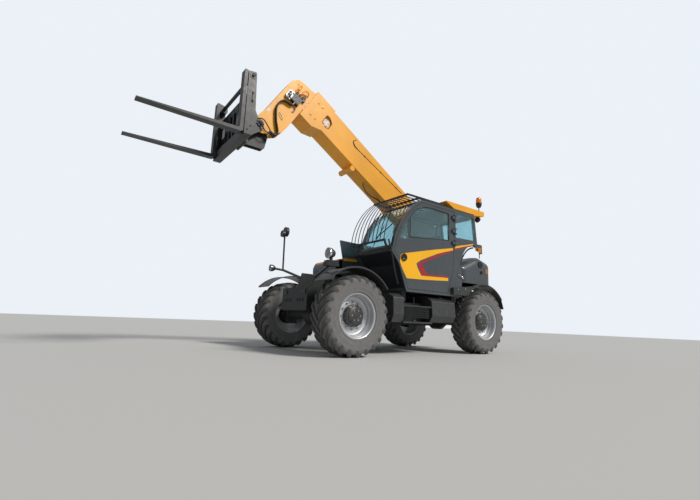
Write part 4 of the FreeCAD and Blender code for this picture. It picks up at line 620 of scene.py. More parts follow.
def wheel_rim():
    """Rim and disc at the origin: a closed section turned about the axle, its outer side towards +Y."""
    return closed_ring(rounded([
        (0.3045, 0.166), (0.314, 0.171), (0.3265, 0.179), (0.3275, 0.187), (0.318, 0.1875), (0.307, 0.181),
        (0.299, 0.168), (0.2915, 0.130), (0.2895, 0.105), (0.281, 0.098), (0.2790, 0.060), (0.268, 0.046),
        (0.245, 0.040), (0.222, 0.0385), (0.216, 0.0425), (0.165, 0.0425), (0.150, 0.040), (0.150, 0.022),
        (0.270, 0.020), (0.287, 0.0), (0.2895, -0.130), (0.299, -0.168), (0.307, -0.181), (0.318, -0.1875),
        (0.3275, -0.187), (0.3265, -0.179), (0.314, -0.171), (0.3045, -0.166)], 0.004, 3))


def planetary_hub():
    """Closed planetary hub: a stepped section turned about the axle."""
    section = rounded([
        (0.160, 0.030), (0.160, 0.104), (0.152, 0.116), (0.130, 0.122), (0.126, 0.132), (0.112, 0.138),
        (0.090, 0.144), (0.060, 0.148), (0.048, 0.146), (0.045, 0.1495), (0.0, 0.1495)], 0.003, 3, False)
    return lathe(section)


def wheel_circle(radius, y, angles):
    """Places round the axle at a radius: (radius cos a, y, radius sin a)."""
    return np.stack([radius * np.cos(angles), np.full(len(angles), y), radius * np.sin(angles)], axis=-1)


def placed(shape, centre, side):
    """A part drawn for the machine's left at the origin, moved to a wheel on its side of the machine."""
    return moved(shape if side > 0 else mirrored(shape), centre)


class TELEHANDLER_OT_rims(bpy.types.Operator):
    """Build the four rims with their studs and hubs"""
    bl_idname = "telehandler.rims"
    bl_label = "Rims and hubs"

    def execute(self, context):
        count = context.scene.telehandler_sizes.stud_count
        angles = np.arange(count) * 2.0 * math.pi / count
        studs = wheel_circle(0.196, 0.042, angles)
        cap_bolts = wheel_circle(0.141, 0.118, angles + 0.2)
        screws = wheel_circle(0.075, 0.147, angles[::2])
        valve = sweep(circle(0.0045, 8), [(-0.262, 0.055, 0.0), (-0.252, 0.070, 0.0), (-0.244, 0.092, 0.0)])
        shapes = (
            ("rim_grey", [wheel_rim()]),
            ("hub_black", [planetary_hub(), copies(nut(0.009, 0.009), cap_bolts)]),
            ("zinc", [
                copies(nut(0.0150, 0.020), studs), copies(nut(0.0075, 0.030, sides=10), studs),
                copies(nut(0.0085, 0.007, sides=8), screws), valve]))
        for place, end, side in WHEELS:
            centre = wheel_centre(end, side)
            groups = [
                (material, [placed(item, centre, side) for item in parts]) for material, parts in shapes]
            rim = piece("disc_rim_" + place, groups, "wheel_" + place)
            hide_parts("rim_" + place)
        return {"FINISHED"}


# Door and cab

def height_at(x, a, b):
    """Height at x on the straight line through a and b, points of (x, height)."""
    return a[1] + (b[1] - a[1]) * (x - a[0]) / (b[0] - a[0])


def stripe(points, relief):
    """A film stripe cut to an outline in X and Z, standing out from the door's plane."""
    return prism(points, DOOR_Y, DOOR_Y + relief)


class TELEHANDLER_OT_stripes(bpy.types.Operator):
    """Lay the yellow and red film stripes on the door and the rear quarter"""
    bl_idname = "telehandler.stripes"
    bl_label = "Door stripes"

    def execute(self, context):
        relief = context.scene.telehandler_sizes.stripe_relief
        rear = -0.662
        top_a, top_b = (-0.217, 1.779), (-0.662, 1.866)
        low_a, low_b = (-0.249, 1.709), (-0.661, 1.827)
        red_a, red_b = (-0.249, 1.691), (-0.661, 1.824)
        dark_a, dark_b = (-0.249, 1.654), (-0.661, 1.802)
        upper = curve([(0.590, 1.603), (0.216, 1.685), top_a, (rear, height_at(rear, top_a, top_b))], 4)
        yellow = np.vstack([upper, [
            (rear, height_at(rear, low_a, low_b)), low_a, (0.155, 1.549), (0.250, 1.496), (0.266, 1.480),
            (0.262, 1.462), (0.243, 1.413), (0.160, 1.296), (0.146, 1.288), (-0.184, 1.299), (-0.526, 1.313),
            (-0.525, 1.260), (0.002, 1.229), (0.470, 1.214), (0.492, 1.222), (0.555, 1.308), (0.606, 1.393),
            (0.640, 1.459), (0.640, 1.500), (0.628, 1.570)]])
        red = [
            (rear, height_at(rear, red_a, red_b)), red_a, (0.019, 1.583), (0.215, 1.490), (0.229, 1.474),
            (0.198, 1.397), (0.123, 1.303), (0.108, 1.292), (-0.526, 1.322), (-0.526, 1.344), (0.008, 1.319),
            (0.088, 1.405), (0.133, 1.488), (-0.012, 1.559), dark_a, (rear, height_at(rear, dark_a, dark_b))]
        quarter_yellow = [(-0.712, 1.905), (-1.256, 2.030), (-1.256, 2.011), (-0.712, 1.866)]
        quarter_red = [(-0.712, 1.852), (-1.255, 2.000), (-1.255, 1.990), (-0.712, 1.832)]
        for name, film, line, body in (
                ("door_stripe", yellow, red, "door"),
                ("quarter_stripe", quarter_yellow, quarter_red, "chassis")):
            layers = [("film_yellow", [stripe(film, relief)]), ("stripe_red", [stripe(line, relief)])]
            piece(name, layers, body)
        return {"FINISHED"}


class TELEHANDLER_OT_door_trim(bpy.types.Operator):
    """Add the door's window seal and its handle with the ring and lock"""
    bl_idname = "telehandler.door_trim"
    bl_label = "Door trim"

    def execute(self, context):
        window = [
            (0.418, 1.905), (0.418, 2.245), (0.300, 2.390), (0.100, 2.480), (-0.060, 2.500), (-0.555, 2.485),
            (-0.562, 1.992)]
        seal = strip(at_y(rounded(window, 0.03, 5), 1.099), 0.014, 0.010, 0.003, True)
        ring = lathe([
            (0.060, 0.0), (0.062, 0.004), (0.058, 0.010), (0.050, 0.010), (0.047, 0.004), (0.040, 0.0025),
            (0.0, 0.0025)], (0.56, 1.1130, 1.544), 1, 40)
        grip = sweep(slab(0.018, 0.010, 0.003), [
            (0.523, 1.117, 1.545), (0.535, 1.121, 1.547), (0.56, 1.123, 1.545), (0.59, 1.121, 1.541),
            (0.600, 1.117, 1.540)])
        barrel = [(0.011, 0.0), (0.011, 0.006), (0.008, 0.008), (0.0, 0.008)]
        lock = lathe(barrel, (0.575, 1.1155, 1.522), 1, 16)
        piece("door_trim", [
            ("rubber_black", [seal]), ("panel_black", [ring, grip]), ("chrome", [lock])], "door", angle=30.0)
        return {"FINISHED"}


class TELEHANDLER_OT_cab_trim(bpy.types.Operator):
    """Add the cab's grab tube, wiper, work lamp with its bracket, and rain gutter"""
    bl_idname = "telehandler.cab_trim"
    bl_label = "Cab trim"

    def execute(self, context):
        grab = rod(curve([
            (0.905, 1.110, 1.790), (0.880, 1.122, 1.700), (0.835, 1.126, 1.560), (0.775, 1.126, 1.300),
            (0.700, 1.122, 1.100)], 5), 0.013, 10)
        arm = [(0.800, 0.62, 1.760), (0.815, 0.70, 1.840), (0.790, 0.78, 1.960), (0.765, 0.84, 2.060)]
        wiper = sweep(slab(0.014, 0.008, 0.002), curve(arm, 4), AHEAD)
        rubber = [(0.788, 0.66, 1.880), (0.770, 0.80, 1.960), (0.748, 0.94, 2.040), (0.730, 1.01, 2.090)]
        blade = sweep(slab(0.008, 0.020, 0.002), curve(rubber, 4), AHEAD)
        lamp = lathe([
            (0.0, 0.0), (0.030, 0.0), (0.050, 0.012), (0.056, 0.045), (0.056, 0.060), (0.050, 0.062),
            (0.0, 0.058)], ORIGIN, 0, 28)
        work = moved(turned(reversed_x(lamp), ACROSS, -25.0), (-1.535, 0.985, 2.600))
        bracket = prism(box(0.960, 1.010, 2.600, 2.660), -1.560, -1.548, 0)
        edge = [(0.300, 1.094, 2.590), (0.0, 1.096, 2.604), (-0.5, 1.096, 2.606), (-1.30, 1.096, 2.606)]
        gutter = strip(curve(edge, 4), 0.012, 0.016, 0.003)
        piece("cab_trim", [
            ("panel_black", [grab, wiper, work, bracket]), ("rubber_black", [blade, gutter])], "chassis")
        return {"FINISHED"}


# Boom

def bolt_rows(places, side, radius=0.014, height=0.010):
    """Bolt heads on washers on a side wall of the boom at (s, t) places, with the wall at Y = side."""
    disc = [(radius * 1.7, 0.0), (radius * 1.7, 0.002), (radius * 1.4, 0.003), (0.0, 0.003)]
    washer = lathe(disc, sides=16)
    spots = at_y(places, side)
    return [copies(nut(radius, height), spots), copies(washer, spots)]


def hose(points, radius):
    """A hose: a round section carried along the smooth curve through its points, given in the boom's axes."""
    return boom_part(rod(curve(points, 6), radius, 12))


class TELEHANDLER_OT_boom_fittings(bpy.types.Operator):
    """Add the boom's bolts, port ring and cover, pipe line and cable loops"""
    bl_idname = "telehandler.boom_fittings"
    bl_label = "Boom fittings"

    def execute(self, context):
        left = bolt_rows([(4.502, 0.139), (4.404, 0.139), (4.495, -0.166), (4.393, -0.158)], COLLAR_SIDE)
        right = [mirrored(shape) for shape in left]
        collar_end = 4.19
        edge = rounded([
            (4.100, -0.095), (4.265, -0.095), (4.265, 0.105), (4.160, 0.105), (4.100, 0.055)], 0.03, 5)
        raised = [(s, (BOOM_SIDE if s < collar_end else COLLAR_SIDE) + RING_LIFT, t) for s, t in edge]
        port = strip(raised, 0.008, 0.005, 0.0015, True)
        inner = plate([
            (4.135, -0.070), (4.235, -0.070), (4.235, 0.070), (4.160, 0.070), (4.135, 0.040)], 0.01,
            0.1345, 0.1375)
        screws = at_y([(4.155, -0.045), (4.155, 0.020), (4.215, -0.045), (4.215, 0.045)], 0.1375)
        line = [(2.175, 0.165, 0.212), (2.7, 0.167, 0.174), (3.2, 0.167, 0.136), (3.454, 0.166, 0.116)]
        clip = lathe([(0.014, 0.0), (0.014, 0.008), (0.009, 0.011), (0.0, 0.011)], sides=14)
        clips = at_y([(2.35, 0.199), (2.80, 0.166), (3.25, 0.132)], BOOM_SIDE)
        loop = [
            (3.454, 0.165, 0.116), (3.53, 0.168, 0.118), (3.585, 0.168, 0.150), (3.600, 0.165, 0.184),
            (3.56, 0.155, 0.250), (3.50, 0.145, 0.287)]
        under = at_y([
            (2.403, -0.214), (2.52, -0.235), (2.640, -0.286), (2.768, -0.300), (2.880, -0.262),
            (2.940, -0.214)], 0.02)
        pipe = boom_part(rod(curve(line, 6), 0.0035))
        piece("boom_fittings", [
            ("body_yellow", [boom_part(shape) for shape in left + right]),
            ("panel_black", [boom_part(copies(clip, clips))]),
            ("pale_plate", [boom_part(inner), boom_part(copies(nut(0.011, 0.008), screws))]),
            ("rubber_black", [boom_part(port)]),
            ("hose_black", [pipe, hose(loop, 0.007), hose(under, 0.008)])], "boom")
        return {"FINISHED"}


class TELEHANDLER_OT_head_fittings(bpy.types.Operator):
    """Dress the boom head: valve block, solenoids, manifold, small hoses, fittings, slot and bare plate"""
    bl_idname = "telehandler.head_fittings"
    bl_label = "Head fittings"

    def execute(self, context):
        radius = context.scene.telehandler_sizes.hose_radius
        silver = plate([
            (4.902, -0.285), (4.975, -0.285), (5.005, -0.255), (5.005, -0.150), (4.970, -0.105),
            (4.880, -0.105), (4.880, -0.200)], 0.008, HEAD_SIDE, HEAD_SIDE + 0.050)
        ports = at_y([
            (4.935, -0.250), (4.975, -0.225), (4.935, -0.190), (4.975, -0.165), (4.915, -0.135)], 0.180)
        body = plate(box(4.738, 4.902, -0.262, -0.118), 0.006, HEAD_SIDE + 0.0005, 0.1985)
        ribs = [prism(box(s, s + 0.012, -0.255, -0.125), 0.198, 0.206)
                for s in (4.752, 4.782, 4.812, 4.842, 4.872)]
        coil = lathe([
            (0.0, -0.118), (0.021, -0.118), (0.023, -0.112), (0.023, -0.050), (0.020, -0.044),
            (0.011, -0.042), (0.011, -0.030), (0.0, -0.029)], ORIGIN, 2, 20)
        coils = copies(coil, [(s, 0.166, 0.0) for s in (4.765, 4.820, 4.875)])
        relay = plate([(4.690, -0.085), (4.738, -0.100), (4.760, -0.020), (4.712, 0.010)], 0.006,
                      HEAD_SIDE, HEAD_SIDE + 0.040)
        bracket = plate([
            (4.748, -0.405), (4.712, -0.392), (4.722, -0.300), (4.750, -0.300), (4.742, -0.372)], 0.004,
            HEAD_SIDE, HEAD_SIDE + 0.006)
        small = [hose([
            (4.905, 0.178, -0.115), (4.918, 0.190, -0.030 + d), (4.912, 0.186, 0.060 + d),
            (4.885, 0.178, 0.072 + d), (4.868, 0.176, 0.020), (4.873, 0.176, -0.034)], 0.007)
            for d in (0.0, 0.030)]
        small += [hose([
            (4.822, 0.172, -0.034), (4.812, 0.184, 0.040 + d), (4.780, 0.182, 0.082 + d),
            (4.735, 0.172, 0.095 + d), (4.700, 0.128, 0.070)], 0.007) for d in (0.0, 0.026)]
        loops = [hose([
            (4.975, 0.195, t), (4.960, 0.215, t - 0.020), (4.925, 0.214, -0.275),
            (4.890, 0.199, -0.268)], 0.0075) for t in (-0.225, -0.165)]
        loops.append(hose([
            (4.765, 0.167, -0.034), (4.755, 0.182, 0.004), (4.735, 0.180, -0.010),
            (4.728, 0.170, -0.045)], 0.006))
        fitting = [
            (radius * 1.20, 0.0), (radius * 1.20, 0.030), (radius * 1.45, 0.031), (radius * 1.45, 0.046),
            (radius * 1.05, 0.047)]
        pair = [HEAD_SIDE + y for y in (0.0186, 0.0496)]
        ends = copies(lathe(fitting, ORIGIN, 2, 6), [(4.812, y, -0.3065) for y in pair])
        tails = copies(lathe(fitting, ORIGIN, 0, 6), [(4.752, y, -1.0) for y in pair])
        jumpers = [hose(points, 0.009) for points in (
            [(4.700, 0.160, -1.020), (4.752, 0.182, -1.022), (4.880, 0.204, -0.985), (4.992, 0.206, -0.957),
             (5.050, 0.204, -1.000), (5.075, 0.2005, -1.050)],
            [(4.700, 0.150, -1.036), (4.752, 0.172, -1.041), (4.800, 0.2005, -1.064), (4.850, 0.203, -1.081),
             (4.930, 0.203, -1.062), (5.000, 0.202, -1.030), (5.050, 0.2005, -1.062)])]
        oval = rounded([(4.770, -0.668), (4.872, -0.626), (4.890, -0.580), (4.788, -0.622)], 0.022, 6)
        slot = strip(at_y(oval, HEAD_SIDE + 0.002), 0.007, 0.004, 0.001, True)
        sign = plate(box(5.012, 5.055, -0.735, -0.672), 0.006, HEAD_SIDE, HEAD_SIDE + 0.001)
        bolts = bolt_rows([(4.95, 0.115), (4.72, -0.05)], HEAD_SIDE, 0.010, 0.008)
        silvers = (silver, copies(nut(0.013, 0.016), ports), ends, tails)
        piece("head_fittings", [
            ("panel_black", [boom_part(shape) for shape in [body, coils, relay, bracket] + ribs]),
            ("hose_black", jumpers + loops),
            ("body_yellow", small + [boom_part(shape) for shape in bolts]),
            ("valve_silver", [boom_part(shape) for shape in silvers]),
            ("hose_black", [boom_part(slot)]),
            ("pale_plate", [boom_part(sign)])], "extension")
        return {"FINISHED"}


# Lamps and beacon

class TELEHANDLER_OT_lamps(bpy.types.Operator):
    """Add the headlamps' chrome rings and lenses, the box under the left one and the tail lamps"""
    bl_idname = "telehandler.lamps"
    bl_label = "Lamps"

    def execute(self, context):
        rings, lenses = [], []
        for x, y, z, r in ((1.918, 0.955, 1.450, 0.078), (1.903, -0.955, 1.400, 0.062)):
            ring = [
                (r * 1.03, -0.022), (r * 1.06, -0.008), (r * 1.03, 0.004), (r * 0.93, 0.006),
                (r * 0.88, 0.001), (r * 0.88, -0.004), (r, -0.022)]
            lens = [(r * 0.90, 0.0), (r * 0.75, 0.005), (r * 0.45, 0.009), (r * 0.2, 0.0105), (0.0, 0.011)]
            rings.append(lathe(ring, (x, y, z), 0, 40))
            lenses.append(lathe(lens, (x, y, z), 0, 40))
        amber = [plate(box(-1.695, -1.635, 1.500, 1.590), 0.012, low, high, steps=4)
                 for low, high in ((1.0845, 1.095), (-1.095, -1.0845))]
        tail = reversed_x(lathe([(0.040, 0.0), (0.040, 0.012), (0.032, 0.020), (0.0, 0.024)], ORIGIN, 0, 28))
        red = copies(tail, [(-1.850, side * 0.80, 1.55) for side in (1, -1)])
        case = plate([(1.745, 1.268), (1.955, 1.262), (1.955, 1.318), (1.930, 1.338), (1.765, 1.338)],
                     0.010, 0.895, 1.012)
        lid = plate([(1.752, 1.336), (1.945, 1.336), (1.940, 1.346), (1.760, 1.346)], 0.004, 0.900, 1.007)
        piece("lamp_rings", [("chrome", rings), ("panel_black", [case, lid])], "chassis")
        piece("lamp_lenses", [("lens", lenses), ("amber_lens", amber), ("lens_red", [red])], "chassis")
        return {"FINISHED"}


class TELEHANDLER_OT_beacon(bpy.types.Operator):
    """Build the beacon with its black base and ribbed amber dome"""
    bl_idname = "telehandler.beacon"
    bl_label = "Beacon"

    def execute(self, context):
        low, high = np.array(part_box("beacon"))
        x, y = (low[0] + high[0]) / 2.0 - ORIGIN_X, (low[1] + high[1]) / 2.0
        foot = (x, y, low[2])
        top = high[2] - low[2]
        post = lathe([
            (0.0, 0.0), (0.020, 0.0), (0.020, 0.006), (0.009, 0.010), (0.009, 0.110), (0.012, 0.115),
            (0.0, 0.116)], foot, 2, 16)
        base = lathe(rounded([
            (0.0, 0.105), (0.030, 0.106), (0.046, 0.120), (0.050, 0.150), (0.058, 0.160), (0.058, 0.202),
            (0.0, 0.203)], 0.004, 3, False), foot, 2, 32)
        rows = rounded([
            (0.0505, 0.202), (0.0545, 0.206), (0.0535, 0.270), (0.046, top - 0.016), (0.030, top - 0.002),
            (0.0, top)], 0.012, 4, False)
        angle = np.linspace(0.0, 2.0 * np.pi, 72, endpoint=False)
        r = rows[:, :1] * (1.0 + 0.018 * np.cos(18.0 * angle))
        rise = np.broadcast_to(low[2] + rows[:, 1:], r.shape)
        dome = np.stack([x + r * np.cos(angle), y + r * np.sin(angle), rise], axis=-1)
        whole = piece("beacon_lamp", [
            ("panel_black", [post, base]), ("amber", [part(dome, False, True, (0,))])], "chassis")
        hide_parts("beacon")
        return {"FINISHED"}


# Body trim

class TELEHANDLER_OT_steps(bpy.types.Operator):
    """Add the treads' grip rings, the rod with its knob, the panel's bars, the tank's cap and the bolts"""
    bl_idname = "telehandler.steps"
    bl_label = "Steps and tank"

    def execute(self, context):
        pitch = context.scene.telehandler_sizes.dimple_pitch
        ring = lathe([(0.016, 0.0), (0.014, 0.003), (0.010, 0.003), (0.008, 0.0)], ORIGIN, 2, 14)
        treads = []
        for x_low, x_high, y_low, y_high, z in (
                (-0.08, 0.55, 0.865, 1.105, 0.530), (-0.08, 0.55, 0.89, 1.095, 0.789)):
            xs = np.arange(x_low + pitch * 0.6, x_high - pitch * 0.4, pitch)
            ys = np.arange(y_low + pitch * 0.5, y_high - pitch * 0.3, pitch)
            gx, gy = np.meshgrid(xs, ys)
            treads.append(copies(ring, np.stack([gx.ravel(), gy.ravel(), np.full(gx.size, z)], axis=-1)))
        stay = rod([(0.316, 1.090, 0.924), (0.314, 1.092, 0.72), (0.311, 1.092, 0.552)], 0.008)
        knob = lathe([
            (0.040, 0.0), (0.040, 0.006), (0.026, 0.010), (0.020, 0.026), (0.010, 0.034), (0.0, 0.035)],
            (0.311, 1.092, 0.5305), 2, 24)
        bars = [strip(at_y([(0.0, z), (0.2, z), (0.52, z)], 1.1235), 0.016, 0.003, 0.0005)
                for z in np.linspace(0.600, 0.745, 5)]
        bars += [strip(at_y([(x, 0.593), (x, 0.67), (x, 0.752)], 1.1235), 0.013, 0.003, 0.0005)
                 for x in np.linspace(0.0, 0.52, 14)]
        cap = lathe([(0.050, 0.0), (0.050, 0.020), (0.044, 0.026), (0.0, 0.028)], (-0.40, 1.00, 0.940), 2, 32)
        bolts = copies(nut(0.010, 0.007, 0), [(0.785, 0.45, 0.60), (0.785, 1.02, 0.60), (0.785, 0.80, 0.90)])
        piece("step_trim", [
            ("plastic_dark", treads), ("panel_black", [stay, knob, cap] + bars),
            ("zinc", [bolts])], "chassis")
        return {"FINISHED"}


def arc_path(centre_x, radius, low, high, y, count=24):
    """Points round an axle at a radius, between two angles from straight ahead."""
    a = np.radians(np.linspace(low, high, count))
    return np.stack([centre_x + radius * np.cos(a), np.full(count, y), AXLE_Z + radius * np.sin(a)], axis=-1)


class TELEHANDLER_OT_fender_trim(bpy.types.Operator):
    """Add the fenders' rolled edges, bolts and the rear mud flaps"""
    bl_idname = "telehandler.fender_trim"
    bl_label = "Fender trim"

    def execute(self, context):
        edges, bolts = [], []
        for x, low, high in ((AXLE_X, 43.2, 142.8), (-AXLE_X, 41.2, 140.8)):
            bead = strip(arc_path(x, 0.697, low, high, 1.163), 0.014, 0.016, 0.004)
            edges += [bead, mirrored(bead)]
            for angle in (70.0, 78.0, 108.0, 116.0):
                head = turned(nut(0.011, 0.007, 2), ACROSS, 90.0 - angle)
                spot = arc_path(x, 0.6945, angle, angle, 0.0, 1)[0]
                bolts.append(copies(head, [spot + (0.0, y, 0.0) for y in (1.10, -1.10)]))
        x, _, z = arc_path(-AXLE_X, 0.700, 139.0, 139.0, 0.0, 1)[0]
        flap = prism([
            (x - 0.012, z + 0.02), (x + 0.006, z + 0.02), (x - 0.082, z - 0.195), (x - 0.094, z - 0.190)],
            0.84, 1.150)
        piece("fender_edges", [
            ("plastic_dark", edges), ("zinc", bolts), ("rubber_black", [flap, mirrored(flap)])], "chassis")
        return {"FINISHED"}


class TELEHANDLER_OT_rear_trim(bpy.types.Operator):
    """Add the arch lip, the fin's lamp and strut, the rear latch, the tail's caps and the skirt plates"""
    bl_idname = "telehandler.rear_trim"
    bl_label = "Rear trim"

    def execute(self, context):
        arch = at_y([
            (-0.878, 1.560), (-0.900, 1.660), (-0.945, 1.750), (-1.040, 1.858), (-1.150, 1.925),
            (-1.250, 1.955)], 1.101)
        lip = strip(curve(arch, 5), 0.030, 0.006, 0.002)
        lens = plate([(-1.500, 1.880), (-1.330, 1.905), (-1.300, 1.960), (-1.500, 1.990)], 0.012,
                     1.0995, 1.108, steps=4)
        dark = plate([(-1.400, 1.905), (-1.345, 1.912), (-1.330, 1.955), (-1.400, 1.965)], 0.010,
                     1.1075, 1.110, steps=4)
        strut = rod(at_y([(-1.512, 1.880), (-1.512, 1.84), (-1.512, 1.790)], 1.05), 0.008)
        pivot = [(0.022, 0.0), (0.022, 0.010), (0.016, 0.014), (0.0, 0.015)]
        keeper = lathe(pivot, (-0.925, 1.100, 1.352), 1, 20)
        lever = strip([
            (-0.800, 1.104, 1.402), (-0.850, 1.110, 1.396), (-0.868, 1.112, 1.370), (-0.920, 1.114, 1.350)],
            0.018, 0.008, 0.002)
        recess = rounded([(-0.780, 1.425), (-0.950, 1.395), (-0.965, 1.318), (-0.800, 1.345)], 0.03, 5)
        cup = strip(at_y(recess, 1.1015), 0.006, 0.004, 0.001, True)
        caps = []
        for x, z, r in ((-1.480, 1.655, 0.066), (-1.507, 1.510, 0.033)):
            section = [
                (r, -0.004), (r, 0.006), (r * 0.9, 0.014), (r * 0.72, 0.015), (r * 0.66, 0.009), (0.0, 0.012)]
            cap = lathe(section, (x, 1.085, z), 1, 36)
            caps += [cap, mirrored(cap)]
        skirt = prism([(-0.600, 1.150), (-1.140, 1.212), (-1.128, 1.176), (-1.068, 1.134), (-1.004, 1.077),
                       (-0.955, 1.026), (-0.600, 1.030)], 1.1005, 1.1625)
        studs = copies(nut(0.011, 0.008), [(-0.720, 1.1625, 1.122), (-0.920, 1.1625, 1.144)])
        piece("rear_trim", [
            ("plastic_dark", [lip, skirt, mirrored(skirt)]), ("panel_black", caps + [strut, cup, dark]),
            ("amber_lens", [lens]), ("zinc", [studs, mirrored(studs)]),
            ("chrome", [keeper, lever])], "chassis")
        return {"FINISHED"}


class TELEHANDLER_OT_front_trim(bpy.types.Operator):
    """Add the pillars' covers, nose pads, the hood's latches and lip, the shield's foot, and painted shade for
    the nose's slots and the hood's vents
    """
    bl_idname = "telehandler.front_trim"
    bl_label = "Front and hood trim"

    def execute(self, context):
        profile = curve([(0.503, 1.012), (0.560, 1.140), (0.640, 1.340), (0.700, 1.480), (0.770, 1.560),
                         (0.812, 1.640), (0.798, 1.740), (0.772, 1.850)], 5)
        covers = [strip(at_y(profile, y), 0.004, 0.042, 0.001) for y in (1.0785, 0.2765)]
        # Slots and vents are thin flat black plates: painted shade standing in for openings that are not cut
        slots = [plate(box(y, y + 0.045, 0.775, 0.830), 0.006, NOSE_X, NOSE_X + 0.0012, 0)
                 for y in (-0.30, -0.22, -0.14, 0.095, 0.175, 0.255)]
        pads = [plate(box(y - 0.06, y + 0.06, 0.900, 0.965), 0.01, NOSE_X, NOSE_X + 0.012, 0)
                for y in (-0.30, 0.30)]
        vents = [plate(box(x, x + 0.022, 1.16, 1.46), 0.009, -1.0625, -1.0602, steps=4)
                 for x in np.arange(-0.70, -0.10, 0.055)]
        latch = [(0.026, 0.0), (0.026, 0.006), (0.018, 0.010), (0.0, 0.010)]
        latches = [mirrored(lathe(latch, (x, 1.0600, 1.05), 1, 24)) for x in (-0.55, 0.60)]
        foot = plate([(0.470, 1.606), (0.790, 1.592), (0.790, 1.645), (0.470, 1.650)], 0.006,
                     SHIELD_Y, SHIELD_Y + 0.0008)
        piece("front_trim", [
            ("panel_black", covers + pads + latches), ("body_yellow", [foot]),
            ("recess_black", slots + vents)], "chassis")
        arc = np.radians(np.linspace(30.0, 88.0, 12))
        bend = [np.stack([0.8032 + r * np.cos(a), 1.5101 + r * np.sin(a)], axis=-1)
                for r, a in ((0.1202, arc), (0.1212, arc[::-1]))]
        piece("hood_lip", [("body_yellow", [prism(np.vstack(bend), -0.995, -0.300)])], "hood")
        return {"FINISHED"}


class TELEHANDLER_OT_carriage_trim(bpy.types.Operator):
    """Add the fork bar's ring and end, and the side plates' brackets and bolts"""
    bl_idname = "telehandler.carriage_trim"
    bl_label = "Fork frame trim"

    def execute(self, context):
        bar_end = (3.130, 0.6600, 3.880)
        ring = lathe([(0.034, 0.0), (0.036, 0.005), (0.050, 0.005), (0.052, 0.0)], bar_end, 1, 40)
        nose = lathe([(0.022, 0.0), (0.022, 0.012), (0.016, 0.016), (0.0, 0.016)], bar_end, 1, 24)
        bracket = plate(box(3.098, 3.122, 3.480, 3.640), 0.004, 0.660, 0.672)
        bolts = copies(nut(0.012, 0.010), [
            (3.110, 0.672, 3.500), (3.110, 0.672, 3.615), (3.110, 0.6600, 3.120), (3.150, 0.6600, 3.060)])
        shapes = [ring, nose, bracket, bolts]
        both = shapes + [mirrored(shape) for shape in shapes]
        piece("fork_frame_trim", [("panel_black", both)], "carriage")
        return {"FINISHED"}


# Seat

SEAT_Y = 0.6775


def pad(name, size, centre, tilt, channels):
    """A crowned pad: a cube grid whose top and bottom swell by (1 - u^4)(1 - v^4), whose sides pull in between
    their corners by 1 - w^2, and whose top has sewn channels, each a dip of exp(-(distance / width)^2)."""
    made = bmesh.new()
    bmesh.ops.create_cube(made, size=2.0)
    bmesh.ops.subdivide_edges(made, edges=made.edges[:], cuts=17, use_grid_fill=True)
    mesh = bpy.data.meshes.new(name)
    made.to_mesh(mesh)
    made.free()
    p = np.empty(len(mesh.vertices) * 3)
    mesh.vertices.foreach_get("co", p)
    p = p.reshape(-1, 3)
    u, v, w = p.T
    swell = (1.0 - u ** 4) * (1.0 - v ** 4)
    q = np.stack([
        u * (1.0 - 0.06 * (1.0 - v ** 2)) * (1.0 - 0.05 * w ** 4),
        v * (1.0 - 0.05 * (1.0 - u ** 2)) * (1.0 - 0.05 * w ** 4),
        w * (0.62 + 0.38 * swell)], axis=-1)
    for across, at in channels:
        along = v if across else u
        q[:, 2] -= 0.16 * np.exp(-((along - at) / 0.07) ** 2) * (w > 0.4) * swell ** 0.3
    q = q * np.asarray(size, float) / 2.0
    turn = np.array(mathutils.Matrix.Rotation(math.radians(tilt), 3, "Y"))
    q = q @ turn.T + np.asarray(centre, float) + (ORIGIN_X, 0.0, 0.0)
    mesh.vertices.foreach_set("co", q.astype(np.float32).ravel())
    mesh.materials.append(matt("seat_cloth"))
    mesh.shade_smooth()
    obj = bpy.data.objects.new(name, mesh)
    bpy.context.scene.collection.objects.link(obj)
    return obj


class TELEHANDLER_OT_seat(bpy.types.Operator):
    """Build the driver's seat: crowned cushion, back and head rest on a moulded base"""
    bl_idname = "telehandler.seat"
    bl_label = "Seat"

    def execute(self, context):
        y = SEAT_Y
        cushion = pad("seat_cushion", (0.49, 0.48, 0.125), (-0.385, y, 1.452), -3.0,
                      ((True, -0.45), (True, 0.45), (False, 0.1)))
        back = pad("seat_back", (0.56, 0.44, 0.115), (-0.612, y, 1.770), -80.0,
                   ((True, -0.5), (True, 0.5), (False, -0.35), (False, 0.2)))
        rest = pad("seat_head_rest", (0.14, 0.26, 0.085), (-0.668, y, 2.070), -80.0, ())
        base = strip([(-0.40, y, z) for z in (1.0405, 1.12, 1.25, 1.392)], 0.34, 0.46, 0.04)
        shell = plate([(-0.655, 1.42), (-0.625, 1.42), (-0.700, 2.02), (-0.725, 2.02)], 0.01,
                      y - 0.20, y + 0.20)
        stand = piece("seat_base", [("plastic_dark", [base, shell])], "chassis")
        for obj in (cushion, back, rest):
            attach(obj, "chassis")
        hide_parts("seat")
        return {"FINISHED"}


# Stage

FLOOR_REACH = 45.0
FLOOR_COLOUR = (0.66, 0.66, 0.65, 1.0)
BACKDROP = 0.93
BACKDROP_COLOUR = (0.90, 0.945, 1.0, 1.0)
GLOSS_LIGHT = 0.12
KEY_COLOUR = (1.0, 0.965, 0.91)
KEY_SPREAD = math.radians(14.0)
KEY_TURN = (math.radians(50.0), 0.0, math.radians(205.0))
CAMERA_LENS = 20.25
CAMERA_REACH = 200.0
CAMERA_PLACE = (4.953, 5.6146, 0.4969)
CAMERA_YAW = -2.2045
CAMERA_PITCH = 0.1794
CAMERA_ROLL = 0.0386


